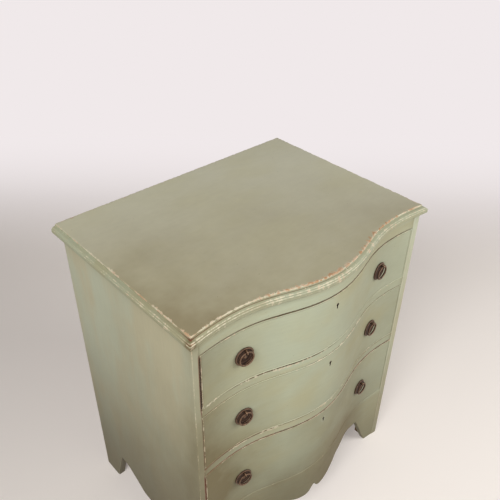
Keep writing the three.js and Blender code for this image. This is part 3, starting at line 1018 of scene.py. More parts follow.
@dataclass
class Carcase:
    """Moulded top, sides, rails and apron of the case."""

    plan: Serpentine
    side_paints: dict[str, Material]
    top_paint: Material
    rail_paint: Material
    bare: Material
    overhang: float = 0.0098
    top_thickness: float = 0.0194
    top_step: float = 0.0028
    top_rows: int = 110
    top_offsets: tuple[float, ...] = (0.0004, 0.001, 0.002, 0.004, 0.008, 0.016, 0.032)
    back_offsets: tuple[float, ...] = (0.008, 0.003, 0.001, 0.0)
    front_foot: float = 0.049
    side_foot: float = 0.058
    front_arch: float = 0.1305
    side_arch: float = 0.118
    step: float = 0.006
    painted_edge: float = 0.02
    painted_back: float = 0.016
    side_stations: tuple[float, ...] = (*EDGE_STEPS, 0.034)
    side_round: float = 0.0016
    side_row_step: float = 0.012
    side_blend: float = 0.03
    rail_depth: float = 0.02
    rail_round: float = 0.0009
    apron_thickness: float = 0.015
    apron_round: float = 0.0014
    apron_step: float = 0.004
    apron_row_step: float = 0.008
    apron_shares: tuple = (
        (0, 0.8), (0.018, 0.766), (0.039, 0.69), (0.064, 0.64), (0.1, 0.617), (0.149, 0.625), (0.206, 0.659),
        (0.249, 0.701), (0.288, 0.747), (0.327, 0.797), (0.363, 0.851), (0.399, 0.877), (0.441, 0.884),
        (0.484, 0.9), (0.523, 0.935), (0.562, 0.969), (0.605, 0.996), (0.64, 1), (0.694, 0.973),
        (0.747, 0.954), (0.783, 0.95), (0.808, 0.904), (1, 0),
    )
    side_shares: tuple = (
        (0, 0.563), (0.08, 0.568), (0.15, 0.58), (0.2, 0.615), (0.245, 0.66), (0.32, 0.73), (0.393, 0.797),
        (0.466, 0.86), (0.54, 0.92), (0.613, 0.962), (0.687, 0.983), (0.742, 1), (0.779, 0.949), (1, 0),
    )
    # Moulding profile from the arris down: reach out, rise, glaze and painted shade in the hollows, and wear.
    edge_profile: tuple = (
        (0.0, 0.86, 0.0, 0.3), (0.0, 0.78, 0.1, 0.0), (0.0, 0.735, 0.7, 0.0),
        (0.1, 0.715, 0.85, 0.0), (0.24, 0.7, 0.25, 0.1), (0.36, 0.69, 0.0, 0.3), (0.5, 0.675, 0.0, 0.5),
        (0.62, 0.65, 0.0, 0.9), (0.7, 0.62, 0.0, 1.0), (0.74, 0.585, 0.1, 0.5), (0.75, 0.55, 0.55, 0.0),
        (0.77, 0.53, 0.5, 0.0), (0.85, 0.52, 0.1, 0.4), (0.93, 0.5, 0.0, 0.9), (0.985, 0.47, 0.0, 1.0),
        (1.0, 0.43, 0.0, 0.6), (1.0, 0.36, 0.0, 0.2), (1.0, 0.305, 0.2, 0.3), (0.97, 0.29, 0.6, 0.0),
        (0.93, 0.28, 0.7, 0.0), (0.97, 0.27, 0.6, 0.0), (1.0, 0.255, 0.1, 0.6), (1.0, 0.15, 0.0, 0.3),
        (0.99, 0.04, 0.0, 0.5), (0.95, 0.0, 0.3, 0.5),
    )
    # Dirt and painted shade on the side's inner arris in the gap beside the drawers, by height; shares past 1
    # are near-black painted shade.
    stile_joint: tuple = (
        (0.12, 0.0), (0.19, 0.1), (0.2, 0.6), (0.38, 0.8), (0.4, 0.2), (0.57, 0.25), (0.59, 0.7), (0.6, 1.5),
        (0.68, 1.3), (0.735, 0.8), (0.75, 0.0),
    )
    # Olive tint across each rail and the apron, heavier at the left ends and right of the bulge as painted
    # shade.
    rail_wash_and_shade: dict[str, tuple[float, ...]] = field(default_factory=lambda: {
        "top_rail": (0.2, 0.1, 0.0, 0.04, 0.16, 0.2, 0.2),
        "divider_upper": (0.65, 0.3, 0.0, 0.08, 0.34, 0.3, 0.22),
        "divider_lower": (0.95, 0.45, 0.05, 0.25, 0.58, 0.42, 0.3),
        "apron": (0.95, 0.8, 0.65, 0.62, 0.62, 0.68, 0.76, 0.92, 1.05, 1.1, 0.75, 0.15, 0.0),
    })
    # Glaze and painted shade in the top's moulding, then paint lost from its arris, across the front.
    top_edge: EdgeWear = EdgeWear(
        (0.85, 0.8, 0.8, 0.75, 0.6, 0.35, 0.3, 0.4, 0.6), (1.0, 0.9, 1.1, 1.8, 2.6, 2.2, 1.6, 1.3, 0.9)
    )
    # Upper and lower edge of each rail: dirt and painted shade in the gap, then paint lost from the arris.
    rail_edges: dict[str, tuple[EdgeWear, EdgeWear]] = field(default_factory=lambda: {
        "top_rail": (
            EdgeWear((0, 0), (0, 0)),
            EdgeWear((0.3, 0.6, 1.0, 0.85, 0.6, 0.65, 0.4), (0.1, 0.2, 0.1, 0.2, 0.3, 0.2, 0.2)),
        ),
        "divider_upper": (
            EdgeWear((0.1, 0.4, 0.9, 0.35, 0.1, 0.1, 0.1), (0.6, 1.2, 2.4, 1.0, 0.3, 0.4, 0.4)),
            EdgeWear((0.05, 0.15, 0.1, 0.5, 0.05, 0.05, 0.4), (0.3, 0.3, 0.5, 0.2, 0.2, 0.2, 0.2)),
        ),
        "divider_lower": (
            EdgeWear((0.5, 0.8, 0.4, 0.3, 0.3, 0.35, 0.3), (0.6, 1.2, 1.5, 1.4, 1.0, 0.6, 0.5)),
            EdgeWear((0.4, 0.7, 1.0, 0.9, 0.8, 0.9, 0.9), (0.2, 0.2, 0.1, 0.1, 0.2, 0.2, 0.2)),
        ),
    })
    apron_rub: tuple[float, ...] = (0.3, 0.1)

    def build(self) -> None:
        """Build and place every painted piece of the carcase."""
        self.top()
        for hand in Hand:
            self.side(hand)
        for node in ("top_rail", "divider_upper", "divider_lower"):
            self.rail(node)
        self.apron()

    def top(self) -> None:
        """Moulded top board, mitred at its front corners."""
        low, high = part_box("top")
        half = self.plan.half_case
        x = graded(-half, half, self.top_step, self.top_offsets)
        face = self.plan.front(x)
        start, far = face + self.top_offsets[-1], high.y - self.back_offsets[0]
        rows = [face, *(face + d for d in self.top_offsets)]
        rows += [start + (far - start) * k / self.top_rows for k in range(1, self.top_rows + 1)]
        rows += [np.full_like(x, high.y - d) for d in self.back_offsets[1:]]
        y = np.stack(rows)
        across = np.broadcast_to(x, y.shape)
        loop = Board.border(*y.shape)
        flat = np.stack([across, y], -1).reshape(-1, 2)
        outline = flat[loop]
        edge = distances(flat, outline).reshape(y.shape)
        line, rub, wash = self.top_wear(across, y)
        dents = ripple(across, y, 3)
        rub = rub * (0.35 + 1.3 * dents)
        drop = quarter_round(0.0007 + 0.0024 * dents * np.clip(rub, 0.2, 1.1), edge)
        made = Skin()
        grid = made.add(np.stack([across, y, high.z - drop], -1), edge, 0.0, rub, wash)
        made.sheet(grid.T)

        direction = self.outward(outline, y.shape)
        begin = grid.ravel()[loop]
        corner = np.hypot(*(outline - outline[0]).T)
        rim_line, rim_rub, rim_wash_and_shade = (values.ravel()[loop] for values in (line, rub, wash))
        red = fade(corner, 0.014)
        ridge = np.clip(0.8 - 0.4 * rim_rub, 0.3, 0.7) + 0.4 * rim_rub
        for reach, rise, grime, wear in self.edge_profile:
            u, v = (outline + direction * (self.overhang * reach)).T
            points = np.stack([u, v, np.full_like(u, low.z + self.top_thickness * rise)], -1)
            away = np.minimum(0.0026 * (1 - wear), 0.0011 + corner * 1.4)
            # Glaze with painted shade in the moulding's hollows, stronger near the left front corner.
            dirt_and_shade = grime * np.maximum(rim_line, 1.3 * red)
            worn = 0.6 * ridge * (0.4 + ripple(u, v, 7))
            ring = made.add(points, away, dirt_and_shade, worn, np.maximum(0.08 + 0.4 * rim_wash_and_shade, red))
            made.band(begin, ring, True, 2)
            begin = ring
        made.cap(begin, True, 1)
        piece = made.piece("top_board", [self.top_paint, self.bare, self.rail_paint], 40.0)
        settle(piece, "carcase", "painted_top", "top")

    def outward(self, outline: Array, shape: tuple[int, int]) -> Array:
        """Way that the moulding grows at each point of the top's outline.

        Args:
            outline: points of the outline, from the left front corner on.
            shape: rows and columns of the grid that it bounds.

        Returns:
            One vector for each point, a unit long on the straight runs.
        """
        rows, columns = shape
        slope = self.plan.slope(outline[:, 0])
        normal = np.stack([slope, -np.ones_like(slope)], -1) / np.sqrt(1 + slope**2)[:, None]
        way = np.zeros_like(outline)
        way[:columns] = normal[:columns]
        for corner, sign in ((0, -1), (columns - 1, 1)):
            tangent = np.array([1, slope[corner]]) / math.sqrt(1 + slope[corner] ** 2)
            way[corner] += tangent * (sign - way[corner, 0]) / tangent[0]
        way[columns : columns + rows - 1] = (1, 0)
        way[columns + rows - 1 + columns - 2 :] = (-1, 0)
        return way

    def top_wear(self, x: Array, y: Array) -> tuple[Array, Array, Array]:
        """Wear round the top, most where people lean on the bulge.

        Args:
            x: places across the chest.
            y: places from front to back.

        Returns:
            Glaze and painted shade in the moulding, lost paint on the arris, and olive tint that is
            partly painted light.
        """
        line, rub = self.top_edge.at(x, self.plan.half_case)
        depth = np.clip(y - self.plan.front(x), 0, None)
        side = unit(depth / 0.03)
        line = line * (1 - side) + (0.15 + 0.6 * fade(depth, 0.07)) * side
        rub = rub * (1 - side) + (0.75 + 0.2 * np.sin(x * 40 + y * 31)) * side
        left = np.clip(x + self.plan.half_case, 0, None)
        wash = 0.36 + 0.6 * fade(np.hypot(left, depth), 0.08) + 0.3 * fade(left, 0.15)
        # The tint thins out towards the back and the right, painting the top lighter there, partly as painted
        # sheen.
        lighter_back_and_right = unit((depth - 0.24) / 0.28 + 0.95 * unit(x / self.plan.half_case))
        return line, rub, unit((wash + 0.16 * fade(depth, 0.08)) * (1 - lighter_back_and_right))

    def hang(self, node: str, kind: str, board: Board) -> None:
        """Make a piece of a board and tie it to the case.

        Args:
            node: CAD node that it stands for.
            kind: second half of the piece's name.
            board: the board.
        """
        paint = self.side_paints.get(node, self.rail_paint)
        piece = board.skin().piece(f"{node}_{kind}", [paint, self.bare])
        settle(piece, "carcase", "painted_case", node)

    def side(self, hand: Hand) -> None:
        """One side of the case, with its two feet.

        Args:
            hand: which side.
        """
        node = f"side_{hand.name.lower()}"
        low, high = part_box(node)
        outer = hand.value * self.plan.half_case
        front_y = float(self.plan.front(self.plan.half_case))
        y = graded(front_y, high.y, self.step, self.side_stations)
        arch = smooth_outline(self.side_shares, (11, 12))
        reach = np.abs(y - (front_y + high.y) / 2) / ((high.y - front_y) / 2 - self.side_foot)
        under = np.where(reach < 1, self.side_arch * arch(np.minimum(reach, 1)), 0.0)

        def place(along: Array, height: Array, depth: Array) -> Array:
            """Place on the side, with its front edge on the plan curve.

            Args:
                along: stations.
                height: heights.
                depth: depths under the face.

            Returns:
                Places in space.
            """
            x = outer - hand.value * depth
            shift = self.plan.front(np.abs(x)) - front_y
            return np.stack([x, along + shift * unit(1 - (along - front_y) / self.side_blend), height], -1)

        def wear(along: Array, height: Array, _: Array) -> Wear:
            """Glaze and painted shade under the moulding, olive tint beside the corner that turns into
            painted shade low down at the front, and rub at the corner.

            Args:
                along: stations.
                height: heights.
                _: distances from the arris, which play no part here.

            Returns:
                Wear values there.
            """
            inward, below = unit(along - front_y), unit(high.z - height)
            wash = 0.3 * hump(inward, 0.032) + 0.45 * fade(below, 0.014)
            # Painted shade low down near the front corner.
            wash = wash + 0.95 * fade(inward, 0.16) * unit((0.7 - height) / 0.4)
            wash = wash + 0.2 * (1 - unit((inward - 0.24) / 0.12))
            rub = (0.2 + 0.35 * fade(inward, 0.008)) * (1 - 0.9 * fade(below, 0.01))
            gap = np.interp(height, *np.array(self.stile_joint).T) * (inward < 0.001)
            # The right side gets a quarter of the tint and no gap line: the left's heavier tint and gap line
            # are partly painted shade.
            wash, gap = (wash, gap) if hand is Hand.LEFT else (0.25 * wash, 0.0)
            return Wear(0.45 * fade(below, 0.004), rub, unit(wash), inner=gap)

        board = Board(
            y, under, high.z, high.x - low.x, self.side_round, self.side_row_step, place, wear,
            bare_from=self.painted_edge, painted_back=self.painted_back,
        )
        self.hang(node, "panel", board)

    def rail(self, node: str) -> None:
        """One serpentine rail between the sides.

        Args:
            node: CAD node that it stands for.
        """
        low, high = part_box(node)
        x = graded(low.x, high.x, self.step, EDGE_STEPS)

        def place(along: Array, height: Array, depth: Array) -> Array:
            """Place on the rail, whose back is straight."""
            y = np.where(depth >= self.rail_depth, high.y, self.plan.front(along) + depth)
            return np.stack([along, y, height], -1)

        def wear(along: Array, height: Array, _: Array) -> Wear:
            """Glaze against the sides, dirt and painted shade along the drawer gaps, painted shadow under the
            top, and rub along the arrises.

            Args:
                along: stations.
                height: heights.
                _: distances from the arris, which play no part here.

            Returns:
                Wear values there.
            """
            (upper_joint, upper_rub), (lower_joint, lower_rub) = (
                worn.at(along, high.x) for worn in self.rail_edges[node]
            )
            end, below, above = unit(high.x - np.abs(along)), unit(high.z - height), unit(height - low.z)
            # Glaze against the sides, and dark lines along the drawer gaps that are partly dirt and partly
            # painted shade.
            grime = 0.3 * fade(end, 0.0025) + 0.9 * lower_joint * hump(above, 0.0011)
            grime = grime + 1.5 * upper_joint * hump(below, 0.0027, 6)
            # Painted shadow of the top's moulding along the top rail.
            if node == "top_rail":
                grime = grime + 0.45 * fade(below, 0.0025)
            pale = 0.15 + 4.0 * hump(below - 0.0045, 0.0017)
            upper_rub = upper_rub * (1 + unit(1.2 * upper_joint) * (pale - 1))
            upper = below < above
            rub = np.where(upper, upper_rub, lower_rub) * (0.3 + 1.4 * ripple(along, height, 11))
            wash = spread(along, high.x, self.rail_wash_and_shade[node]) + 0.3 * fade(end, 0.006)
            return Wear(np.clip(grime, 0, 1.35), rub, unit(wash), np.where(upper, upper_joint, lower_joint))

        bottom = np.full_like(x, low.z)
        board = Board(x, bottom, high.z, self.rail_depth, self.rail_round, self.step, place, wear)
        self.hang(node, "board", board)

    def apron(self) -> None:
        """Shaped apron with the two front feet."""
        low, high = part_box("apron")
        span = self.plan.half_case - self.front_foot
        x = graded(low.x, high.x, self.apron_step, EDGE_STEPS, (-span, 0.0, span))
        arch = smooth_outline(self.apron_shares, (0, 20, 21))
        reach = np.abs(x) / span
        under = np.where(reach < 1, self.front_arch * arch(np.minimum(reach, 1)), 0.0)

        def place(along: Array, height: Array, depth: Array) -> Array:
            """Place on the apron, whose back follows its face."""
            return np.stack([along, self.plan.front(along) + depth, height], -1)

        def wear(along: Array, height: Array, _: Array) -> Wear:
            """Glaze against the sides, painted shade low in the hollow right of the bulge, and light rub on
            the shaped edge and the feet.

            Args:
                along: stations.
                height: heights.
                _: distances from the arris, which play no part here.

            Returns:
                Wear values there.
            """
            upper_rub = spread(along, high.x, self.apron_rub)
            end = unit(high.x - np.abs(along))
            rub = np.where(high.z - height < 0.01, upper_rub, 0.4) * np.where(end < 0.004, 0.3, 1.0)
            # Painted shade low in the hollow right of the bulge.
            shaded_flank = hump(along - 0.17, 0.06) * unit(1.6 - height / 0.12)
            grime = 0.35 * fade(end, 0.0025) + 0.35 * shaded_flank
            wash = spread(along, high.x, self.rail_wash_and_shade["apron"])
            return Wear(grime, rub * (0.3 + 1.4 * ripple(along, height, 12)), wash)

        board = Board(
            x, under, high.z, self.apron_thickness, self.apron_round, self.apron_row_step, place, wear,
            bare_from=self.painted_edge,
        )
        self.hang("apron", "board", board)


# Drawers ------------------------------------------------------------------------------------


@dataclass(frozen=True)
class DrawerWear:
    """Wear, olive tint and painted shade of one drawer front."""

    top: EdgeWear
    bottom: EdgeWear
    left_joint: float
    left_rub: float
    wash: tuple[float, ...]
    low_wash_and_shade: tuple[float, ...] = ()


@dataclass
class DrawerFace:
    """Drawer front with its cock bead, keyhole, lock recess and the sockets of its dovetails."""

    plan: Serpentine
    number: int
    worn: DrawerWear
    paint: Material
    bare: Material
    bead_width: float = 0.0032
    bead_proud: float = 0.001
    bead_steps: int = 12
    thickness: float = 0.020
    bevels: tuple[float, ...] = (0.0004, 0.001, 0.002, 0.0032, 0.0036, 0.006, 0.012)
    round: float = 0.0007
    step: float = 0.006
    path_points: tuple[int, int] = (121, 25)
    key_offset: float = 0.007
    key_drop: float = 0.030
    key_radius: float = 0.0025
    key_reach: tuple[float, float] = (0.006, 0.008)
    key_stations: tuple[int, int] = (7, 9)
    slot_width: float = 0.0025
    slot_length: float = 0.0072
    gap: float = 0.0003
    slit: float = 1e-5
    tail_count: int = 3
    tip_share: float = 0.74
    root_share: float = 0.56

    @property
    def body(self) -> str:
        """Body that the drawer's pieces ride on."""
        return f"drawer_{self.number}"

    @property
    def box(self) -> tuple[Vector, Vector]:
        """Low and high corner of the front."""
        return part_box(f"{self.body}_front")

    def key_outline(self, spots: Array) -> Array:
        """Keyhole point that lies in the direction of each spot.

        Args:
            spots: places round the keyhole's middle.

        Returns:
            The keyhole's outline, in the same order.
        """
        rise = self.slot_length / 2
        turn = np.arctan2(spots[:, 1], spots[:, 0])
        way = np.stack([np.cos(turn), np.sin(turn)], -1)
        steps = np.linspace(0.0001, 0.007, 140)
        across, up = (way[..., None] * steps).transpose(1, 0, 2)
        in_eye = np.hypot(across, up - rise * 0.55) < self.key_radius
        in_slot = (np.abs(across) < self.slot_width / 2) & (-rise - 0.001 < up) & (up < rise)
        return way * np.where(in_eye | in_slot, steps, 0.0006).max(1)[:, None]

    def build(self) -> None:
        """Build the front and its bead."""
        low, high = self.box
        sides = [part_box(f"{self.body}_side_{hand.name.lower()}") for hand in Hand]
        lock_low, lock_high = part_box(f"{self.body}_lock")
        gap = self.gap
        pockets = (sides[0][1].x + gap, sides[1][0].x - gap)
        lap = sides[0][0].y - gap
        recess = (lock_low.x - gap, lock_high.x + gap, lock_low.z - gap, lock_high.z + gap)
        key_z = high.z - self.key_drop - self.slot_length / 2
        key_x, key_rows = (
            np.linspace(middle - reach, middle + reach, count)
            for middle, reach, count in zip((self.key_offset, key_z), self.key_reach, self.key_stations)
        )
        pocket_sides = (edge + side * self.slit for edge in pockets for side in (-1, 1))
        x = graded(low.x, high.x, self.step, self.bevels, (*key_x, *recess[:2], *pocket_sides))

        def place(along: Array, height: Array, depth: Array) -> Array:
            """Place on the drawer front, whose ends are only as thick as the lap over the tails.

            Args:
                along: stations.
                height: heights.
                depth: depths under the face.

            Returns:
                Places in space.
            """
            y = self.plan.front(along) + depth
            end = (along < pockets[0]) | (along > pockets[1])
            return np.stack([along, np.where(end, np.minimum(y, lap), y), height], -1)

        def wear(along: Array, height: Array, edge: Array) -> Wear:
            """Glaze and painted shade along the bead, dirt round the keyhole, dirt and a painted shadow round
            each pull, and rub by the nearest edge.

            Args:
                along: stations.
                height: heights.
                edge: distances from the arris.

            Returns:
                Wear values there.
            """
            key = np.hypot(along - self.key_offset, height - key_z)
            # A dark line in the crease inside the bead, partly glaze and partly painted shade, and dirt round
            # the keyhole.
            dirt_and_shade = 0.45 * hump(edge - self.bead_width - 0.0002, 0.0006) + 0.2 * fade(unit(key - 0.004), 0.003)
            for pull in self.pulls():
                # Dirt round each plate, its middle set 3 mm to the right so that it also paints the plate's
                # shadow.
                span = np.hypot(along - pull.x - 0.003, height - (pull.z - 0.016))
                dirt_and_shade = dirt_and_shade + 0.2 * fade(unit(span - 0.022), 0.004)
            joint, rub = self.nearest(along, height)
            rub = rub * np.where(edge > self.bead_width * 0.9, 0.4, 1.0)
            return Wear(unit(dirt_and_shade), rub, self.washed(along, height), joint)

        made = Board(
            x, np.full_like(x, low.z), high.z, self.thickness, self.round, self.step, place, wear,
            bevels=self.bevels, extra_rows=(*key_rows, *recess[2:]),
            hole=(key_x[0], key_x[-1], key_rows[0], key_rows[-1]), hole_outline=self.key_outline,
            recess=recess, recess_floor=lock_low.y - gap,
        ).skin()
        for side, inner, outer in zip(sides, pockets, (low.x, high.x)):
            self.pins(made, side, (inner, outer), lap)
        piece = made.piece(f"{self.body}_face", [self.paint, self.bare])
        settle(piece, self.body, "painted_front", f"{self.body}_front")
        self.bead()

    def pulls(self) -> list[Vector]:
        """Middles of the eyes of the drawer's two pulls."""
        return [Vector(j["pos_m"]) for j in frame["joints"] if j["child"].startswith(f"{self.body}_ring")]

    def nearest(self, x: Array, z: Array) -> tuple[Array, Array]:
        """Dirt with painted shade, and lost paint, of the edge that lies nearest to each place.

        Args:
            x: places across the front.
            z: heights.

        Returns:
            The two shares.
        """
        low, high = self.box
        top_joint, top_rub = self.worn.top.at(x, high.x)
        bottom_joint, bottom_rub = self.worn.bottom.at(x, high.x)
        owner = np.stack([high.z - z, x - low.x, z - low.z, high.x - x]).argmin(0)
        joint = np.choose(owner, [top_joint, self.worn.left_joint, bottom_joint, 0.1])
        rub = np.choose(owner, [top_rub, self.worn.left_rub, bottom_rub, 0.15])
        return joint, rub * (0.3 + 1.4 * ripple(x, z, 20 + self.number))

    def washed(self, x: Array, z: Array) -> Array:
        """Share of the olive tint and painted shade, which near the lower edge goes over to the lower table.

        Args:
            x: places across the front.
            z: heights.

        Returns:
            The shares.
        """
        low, high = self.box
        upper = spread(x, high.x, self.worn.wash)
        lower = spread(x, high.x, self.worn.low_wash_and_shade or self.worn.wash)
        return upper + (lower - upper) * fade(unit(z - low.z), 0.05)

    def pins(self, made: Skin, side: tuple[Vector, Vector], span: tuple[float, float], lap: float) -> None:
        """Pins of one end, between the sockets of the side's tails.

        Args:
            made: skin that gets the pins.
            side: box of the drawer side.
            span: inner end of the sockets, and end of the front.
            lap: back of the lap over the tails.
        """
        low, high = self.box
        spacing = (side[1].z - side[0].z) / self.tail_count
        middles = [side[0].z + spacing * (i + 0.5) for i in range(self.tail_count)]
        tip, root = (spacing * share / 2 + self.gap for share in (self.tip_share, self.root_share))
        floors = [(low.z, low.z), *((m + tip, m + root) for m in middles)]
        ceilings = [*((m - tip, m - root) for m in middles), (high.z, high.z)]
        for (near_low, far_low), (near_high, far_high) in zip(floors, ceilings):
            ends = []
            for x in span:
                back = float(self.plan.front(x)) + self.thickness
                corners = ((x, lap, near_low), (x, back, far_low), (x, back, far_high), (x, lap, near_high))
                ends.append(made.add(np.array(corners)))
            made.solid(ends, 1)

    def bead_path(self) -> bpy.types.Object:
        """Closed curve round the front, which the bead's section follows.

        Returns:
            The curve object.
        """
        low, high = self.box
        radius = self.bead_width / 2
        x = np.linspace(low.x + radius, high.x - radius, self.path_points[0])
        bottom, top = low.z + radius, high.z - radius
        rise = np.linspace(bottom, top, self.path_points[1])[1:-1]
        path = [(u, bottom) for u in x] + [(x[-1], z) for z in rise]
        path += [(u, top) for u in x[::-1]] + [(x[0], z) for z in rise[::-1]]
        curve = bpy.data.curves.new(f"{self.body}_bead_path", "CURVE")
        curve.dimensions = "3D"
        line = curve.splines.new("POLY")
        line.points.add(len(path) - 1)
        for point, (u, z) in zip(line.points, path):
            point.co = (u, float(self.plan.front(u)) + radius - self.bead_proud, z, 1.0)
        line.use_cyclic_u = True
        return linked(f"{self.body}_bead_path", curve)

    def bead(self) -> None:
        """Half-round bead, swept round the front by geometry nodes."""
        sizes = {"Radius": self.bead_width / 2, "Steps": self.bead_steps, "Finish": self.paint}
        shape = Shapes(f"{self.body}_bead_sweep", **sizes)
        inputs = {"Resolution": shape.given("Steps"), "Radius": shape.given("Radius")}
        profile = shape.wire("GeometryNodeCurvePrimitiveCircle", {"mode": "RADIUS"}, inputs)
        inputs = {"Curve": shape.given("Geometry"), "Profile Curve": profile}
        swept = shape.wire("GeometryNodeCurveToMesh", None, inputs)
        piece = shape.bake(self.bead_path(), f"{self.body}_bead", swept)
        mesh = piece.data
        tidy_mesh(mesh)
        low, high = self.box
        x, y, z = np.array([v.co for v in mesh.vertices]).T
        stand = self.plan.front(x) - y
        joint, rub = self.nearest(x, z)
        rim = np.stack([x - low.x, high.x - x, z - low.z, high.z - z]).min(0)
        # Dark on the bead's outer flank beside the gap and in the crease at the face, partly dirt and partly
        # painted shade.
        dirt_and_shade = joint * unit(1.3 - rim / np.where(z - low.z < self.bead_width / 2, 0.0013, 0.0008))
        store(mesh, "edge", np.clip(self.bead_proud - stand, 0, 0.003) * 1.6 + 0.0006)
        store(mesh, "grime", np.clip(np.maximum(0.35 - stand / self.bead_proud, dirt_and_shade), 0, 2))
        store(mesh, "rub", rub * unit(1.2 - dirt_and_shade))
        store(mesh, "wash", self.washed(x, z))
        mesh.shade_smooth()
        settle(piece, self.body, "painted_front")


def circle(count: int) -> Array:
    """Even turns round a circle."""
    return np.linspace(0, 2 * math.pi, count + 1)[:-1]


@dataclass
class RingPull:
    """Turned plate, eye bolt with its nut, and the ring that hangs in the eye."""

    drawer: int
    hand: Hand
    bronze: Material
    ring_radius: float = 0.016
    wire_radius: float = 0.0022
    plate_radius: float = 0.022
    stand: float = 0.0084
    eye_radius: float = 0.0045
    eye_hole: float = 0.003
    bolt_radius: float = 0.0022
    nut_radius: float = 0.0052
    plate_sides: int = 72
    shank_sides: int = 24
    nut_sides: int = 6
    eye_steps: tuple[int, int] = (32, 16)
    ring_steps: tuple[int, int] = (96, 20)
    nut_thickness: float = 0.0035
    profile: tuple = (
        (0.045, 4.55, 1.0), (0.09, 4.3, 1.0), (0.125, 3.9, 0.9), (0.15, 3.4, 0.6),
        (0.165, 3.05, 0.3), (0.2, 2.9, 0.6), (0.235, 2.6, 0.7), (0.26, 2.1, 0.4), (0.29, 1.7, 0.15),
        (0.34, 1.45, 0.1), (0.42, 1.4, 0.15), (0.5, 1.42, 0.2), (0.56, 1.5, 0.2), (0.58, 1.75, 0.6),
        (0.6, 1.85, 0.8), (0.625, 1.8, 0.6), (0.645, 1.55, 0.2), (0.7, 1.55, 0.2), (0.76, 1.7, 0.2),
        (0.8, 2.0, 0.3), (0.83, 2.5, 0.6), (0.86, 2.8, 0.9), (0.9, 2.86, 1.0), (0.94, 2.7, 0.9),
        (0.97, 2.2, 0.7), (0.99, 1.5, 0.5), (1.0, 0.9, 0.3), (0.995, 0.2, 0.1), (0.985, 0.0, 0.0),
    )

    @cached_property
    def place(self) -> Array:
        """Matrix of the pull's frame: X across, Y into the drawer, Z up, from the middle of the eye.

        Returns:
            Four rows of four numbers.
        """
        joint = next(j for j in frame["joints"] if j["child"] == self.name("ring"))
        across = -Vector(joint["axis"]).normalized()
        inward = Vector((0, 0, 1)).cross(across)
        turned = Matrix((across, inward, Vector((0, 0, 1)))).transposed().to_4x4()
        return np.array(Matrix.Translation(Vector(joint["pos_m"])) @ turned)

    def name(self, part: str) -> str:
        """Name of one of the pull's nodes."""
        return f"drawer_{self.drawer}_{part}_{self.hand.name.lower()}"

    def build(self) -> None:
        """Build the plate, the eye bolt and the ring."""
        drawer, ring = f"drawer_{self.drawer}", self.name("ring")
        for node, body, make, way, sharp in (
            (self.name("plate"), drawer, self.plate, "turned", 50.0),
            (self.name("eye_bolt"), drawer, self.eye_bolt, "forged", 40.0),
            (ring, ring, self.ring, "cast", 60.0),
        ):
            made = Skin()
            make(made)
            settle(made.piece(f"{node}_{way}", [self.bronze], sharp), body, "dark_bronze", node)

    def loop(self, made: Skin, x: Array, y: Array, z: Array, rub: float | Array) -> Array:
        """Add a loop of points given in the pull's own frame.

        Args:
            made: skin that gets it.
            x: places across.
            y: places into the drawer.
            z: heights over the middle of the eye.
            rub: how much the points are rubbed.

        Returns:
            The numbers of the new points.
        """
        spots = np.stack(np.broadcast_arrays(x, y, z), -1)
        return made.add(spots @ self.place[:3, :3].T + self.place[:3, 3], 1.0, 0.0, rub)

    def turn(self, made: Skin, lathe: tuple, sides: int, drop: float = 0.0) -> None:
        """Add a closed turned body, about an axis that runs into the drawer.

        Args:
            made: skin that gets it.
            lathe: radius, place along the axis and rub of each ring, from its front to its back.
            sides: points of each ring.
            drop: how far the axis lies under the middle of the eye.
        """
        across, up = np.cos(circle(sides)), np.sin(circle(sides))
        made.solid([self.loop(made, r * across, y, r * up - drop, rub) for r, y, rub in lathe])

    def plate(self, made: Skin) -> None:
        """Turned back plate, added to a skin."""
        lathe = tuple((self.plate_radius * r, self.stand - rise * MM, rub) for r, rise, rub in self.profile)
        self.turn(made, lathe, self.plate_sides, self.ring_radius)

    def eye_bolt(self, made: Skin) -> None:
        """Eye, shank, six-sided nut and tail of the bolt.

        Args:
            made: skin that gets them.
        """
        middle = (self.eye_radius + self.eye_hole) / 2
        wire = (self.eye_radius - self.eye_hole) / 2 + 0.0004
        turns, around = (circle(count) for count in self.eye_steps)
        radius, across = middle + wire * np.cos(around), 1.6 * wire * np.sin(around)
        rub = 0.6 + 0.4 * np.cos(around)
        grid = [self.loop(made, across, radius * math.cos(t), radius * math.sin(t), rub) for t in turns]
        made.bands([*grid, grid[0]])
        bolt, nut = self.bolt_radius, self.nut_radius
        _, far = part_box(self.name("eye_bolt"))
        spot = np.array([self.place[0, 3], far.y, self.place[2, 3], 1.0])
        end = float((np.linalg.inv(self.place) @ spot)[1])
        seat = end - self.nut_thickness - 0.002
        face = seat + self.nut_thickness
        self.turn(made, (
            (0.0018, middle + 0.0004, 0.4), (bolt + 0.0006, middle + 0.001, 0.4), (bolt, middle + 0.002, 0.3),
            (bolt, end - 0.0005, 0.2), (bolt - 0.0005, end, 0.3),
        ), self.shank_sides)
        self.turn(made, (
            (nut - 0.0004, seat, 0.1), (nut, seat + 0.0003, 0.4), (nut, face - 0.0006, 0.5),
            (nut - 0.0007, face, 0.2),
        ), self.nut_sides)

    def ring(self, made: Skin) -> None:
        """Cast ring, a little thicker where it is pulled.

        Args:
            made: skin that gets it.
        """
        turns, around = (circle(count) for count in self.ring_steps)
        rub = 0.3 + 0.7 * unit(-np.sin(around))
        grid = []
        for t in turns:
            wire = self.wire_radius * (0.86 + 0.1 * (1 - math.sin(t)))
            radius = self.ring_radius + wire * np.cos(around)
            x, z = radius * math.cos(t), radius * math.sin(t) - self.ring_radius
            grid.append(self.loop(made, x, wire * np.sin(around), z, rub))
        made.bands([*grid, grid[0]])


# Bare wood, iron, stage, camera -------------------------------------------------------------


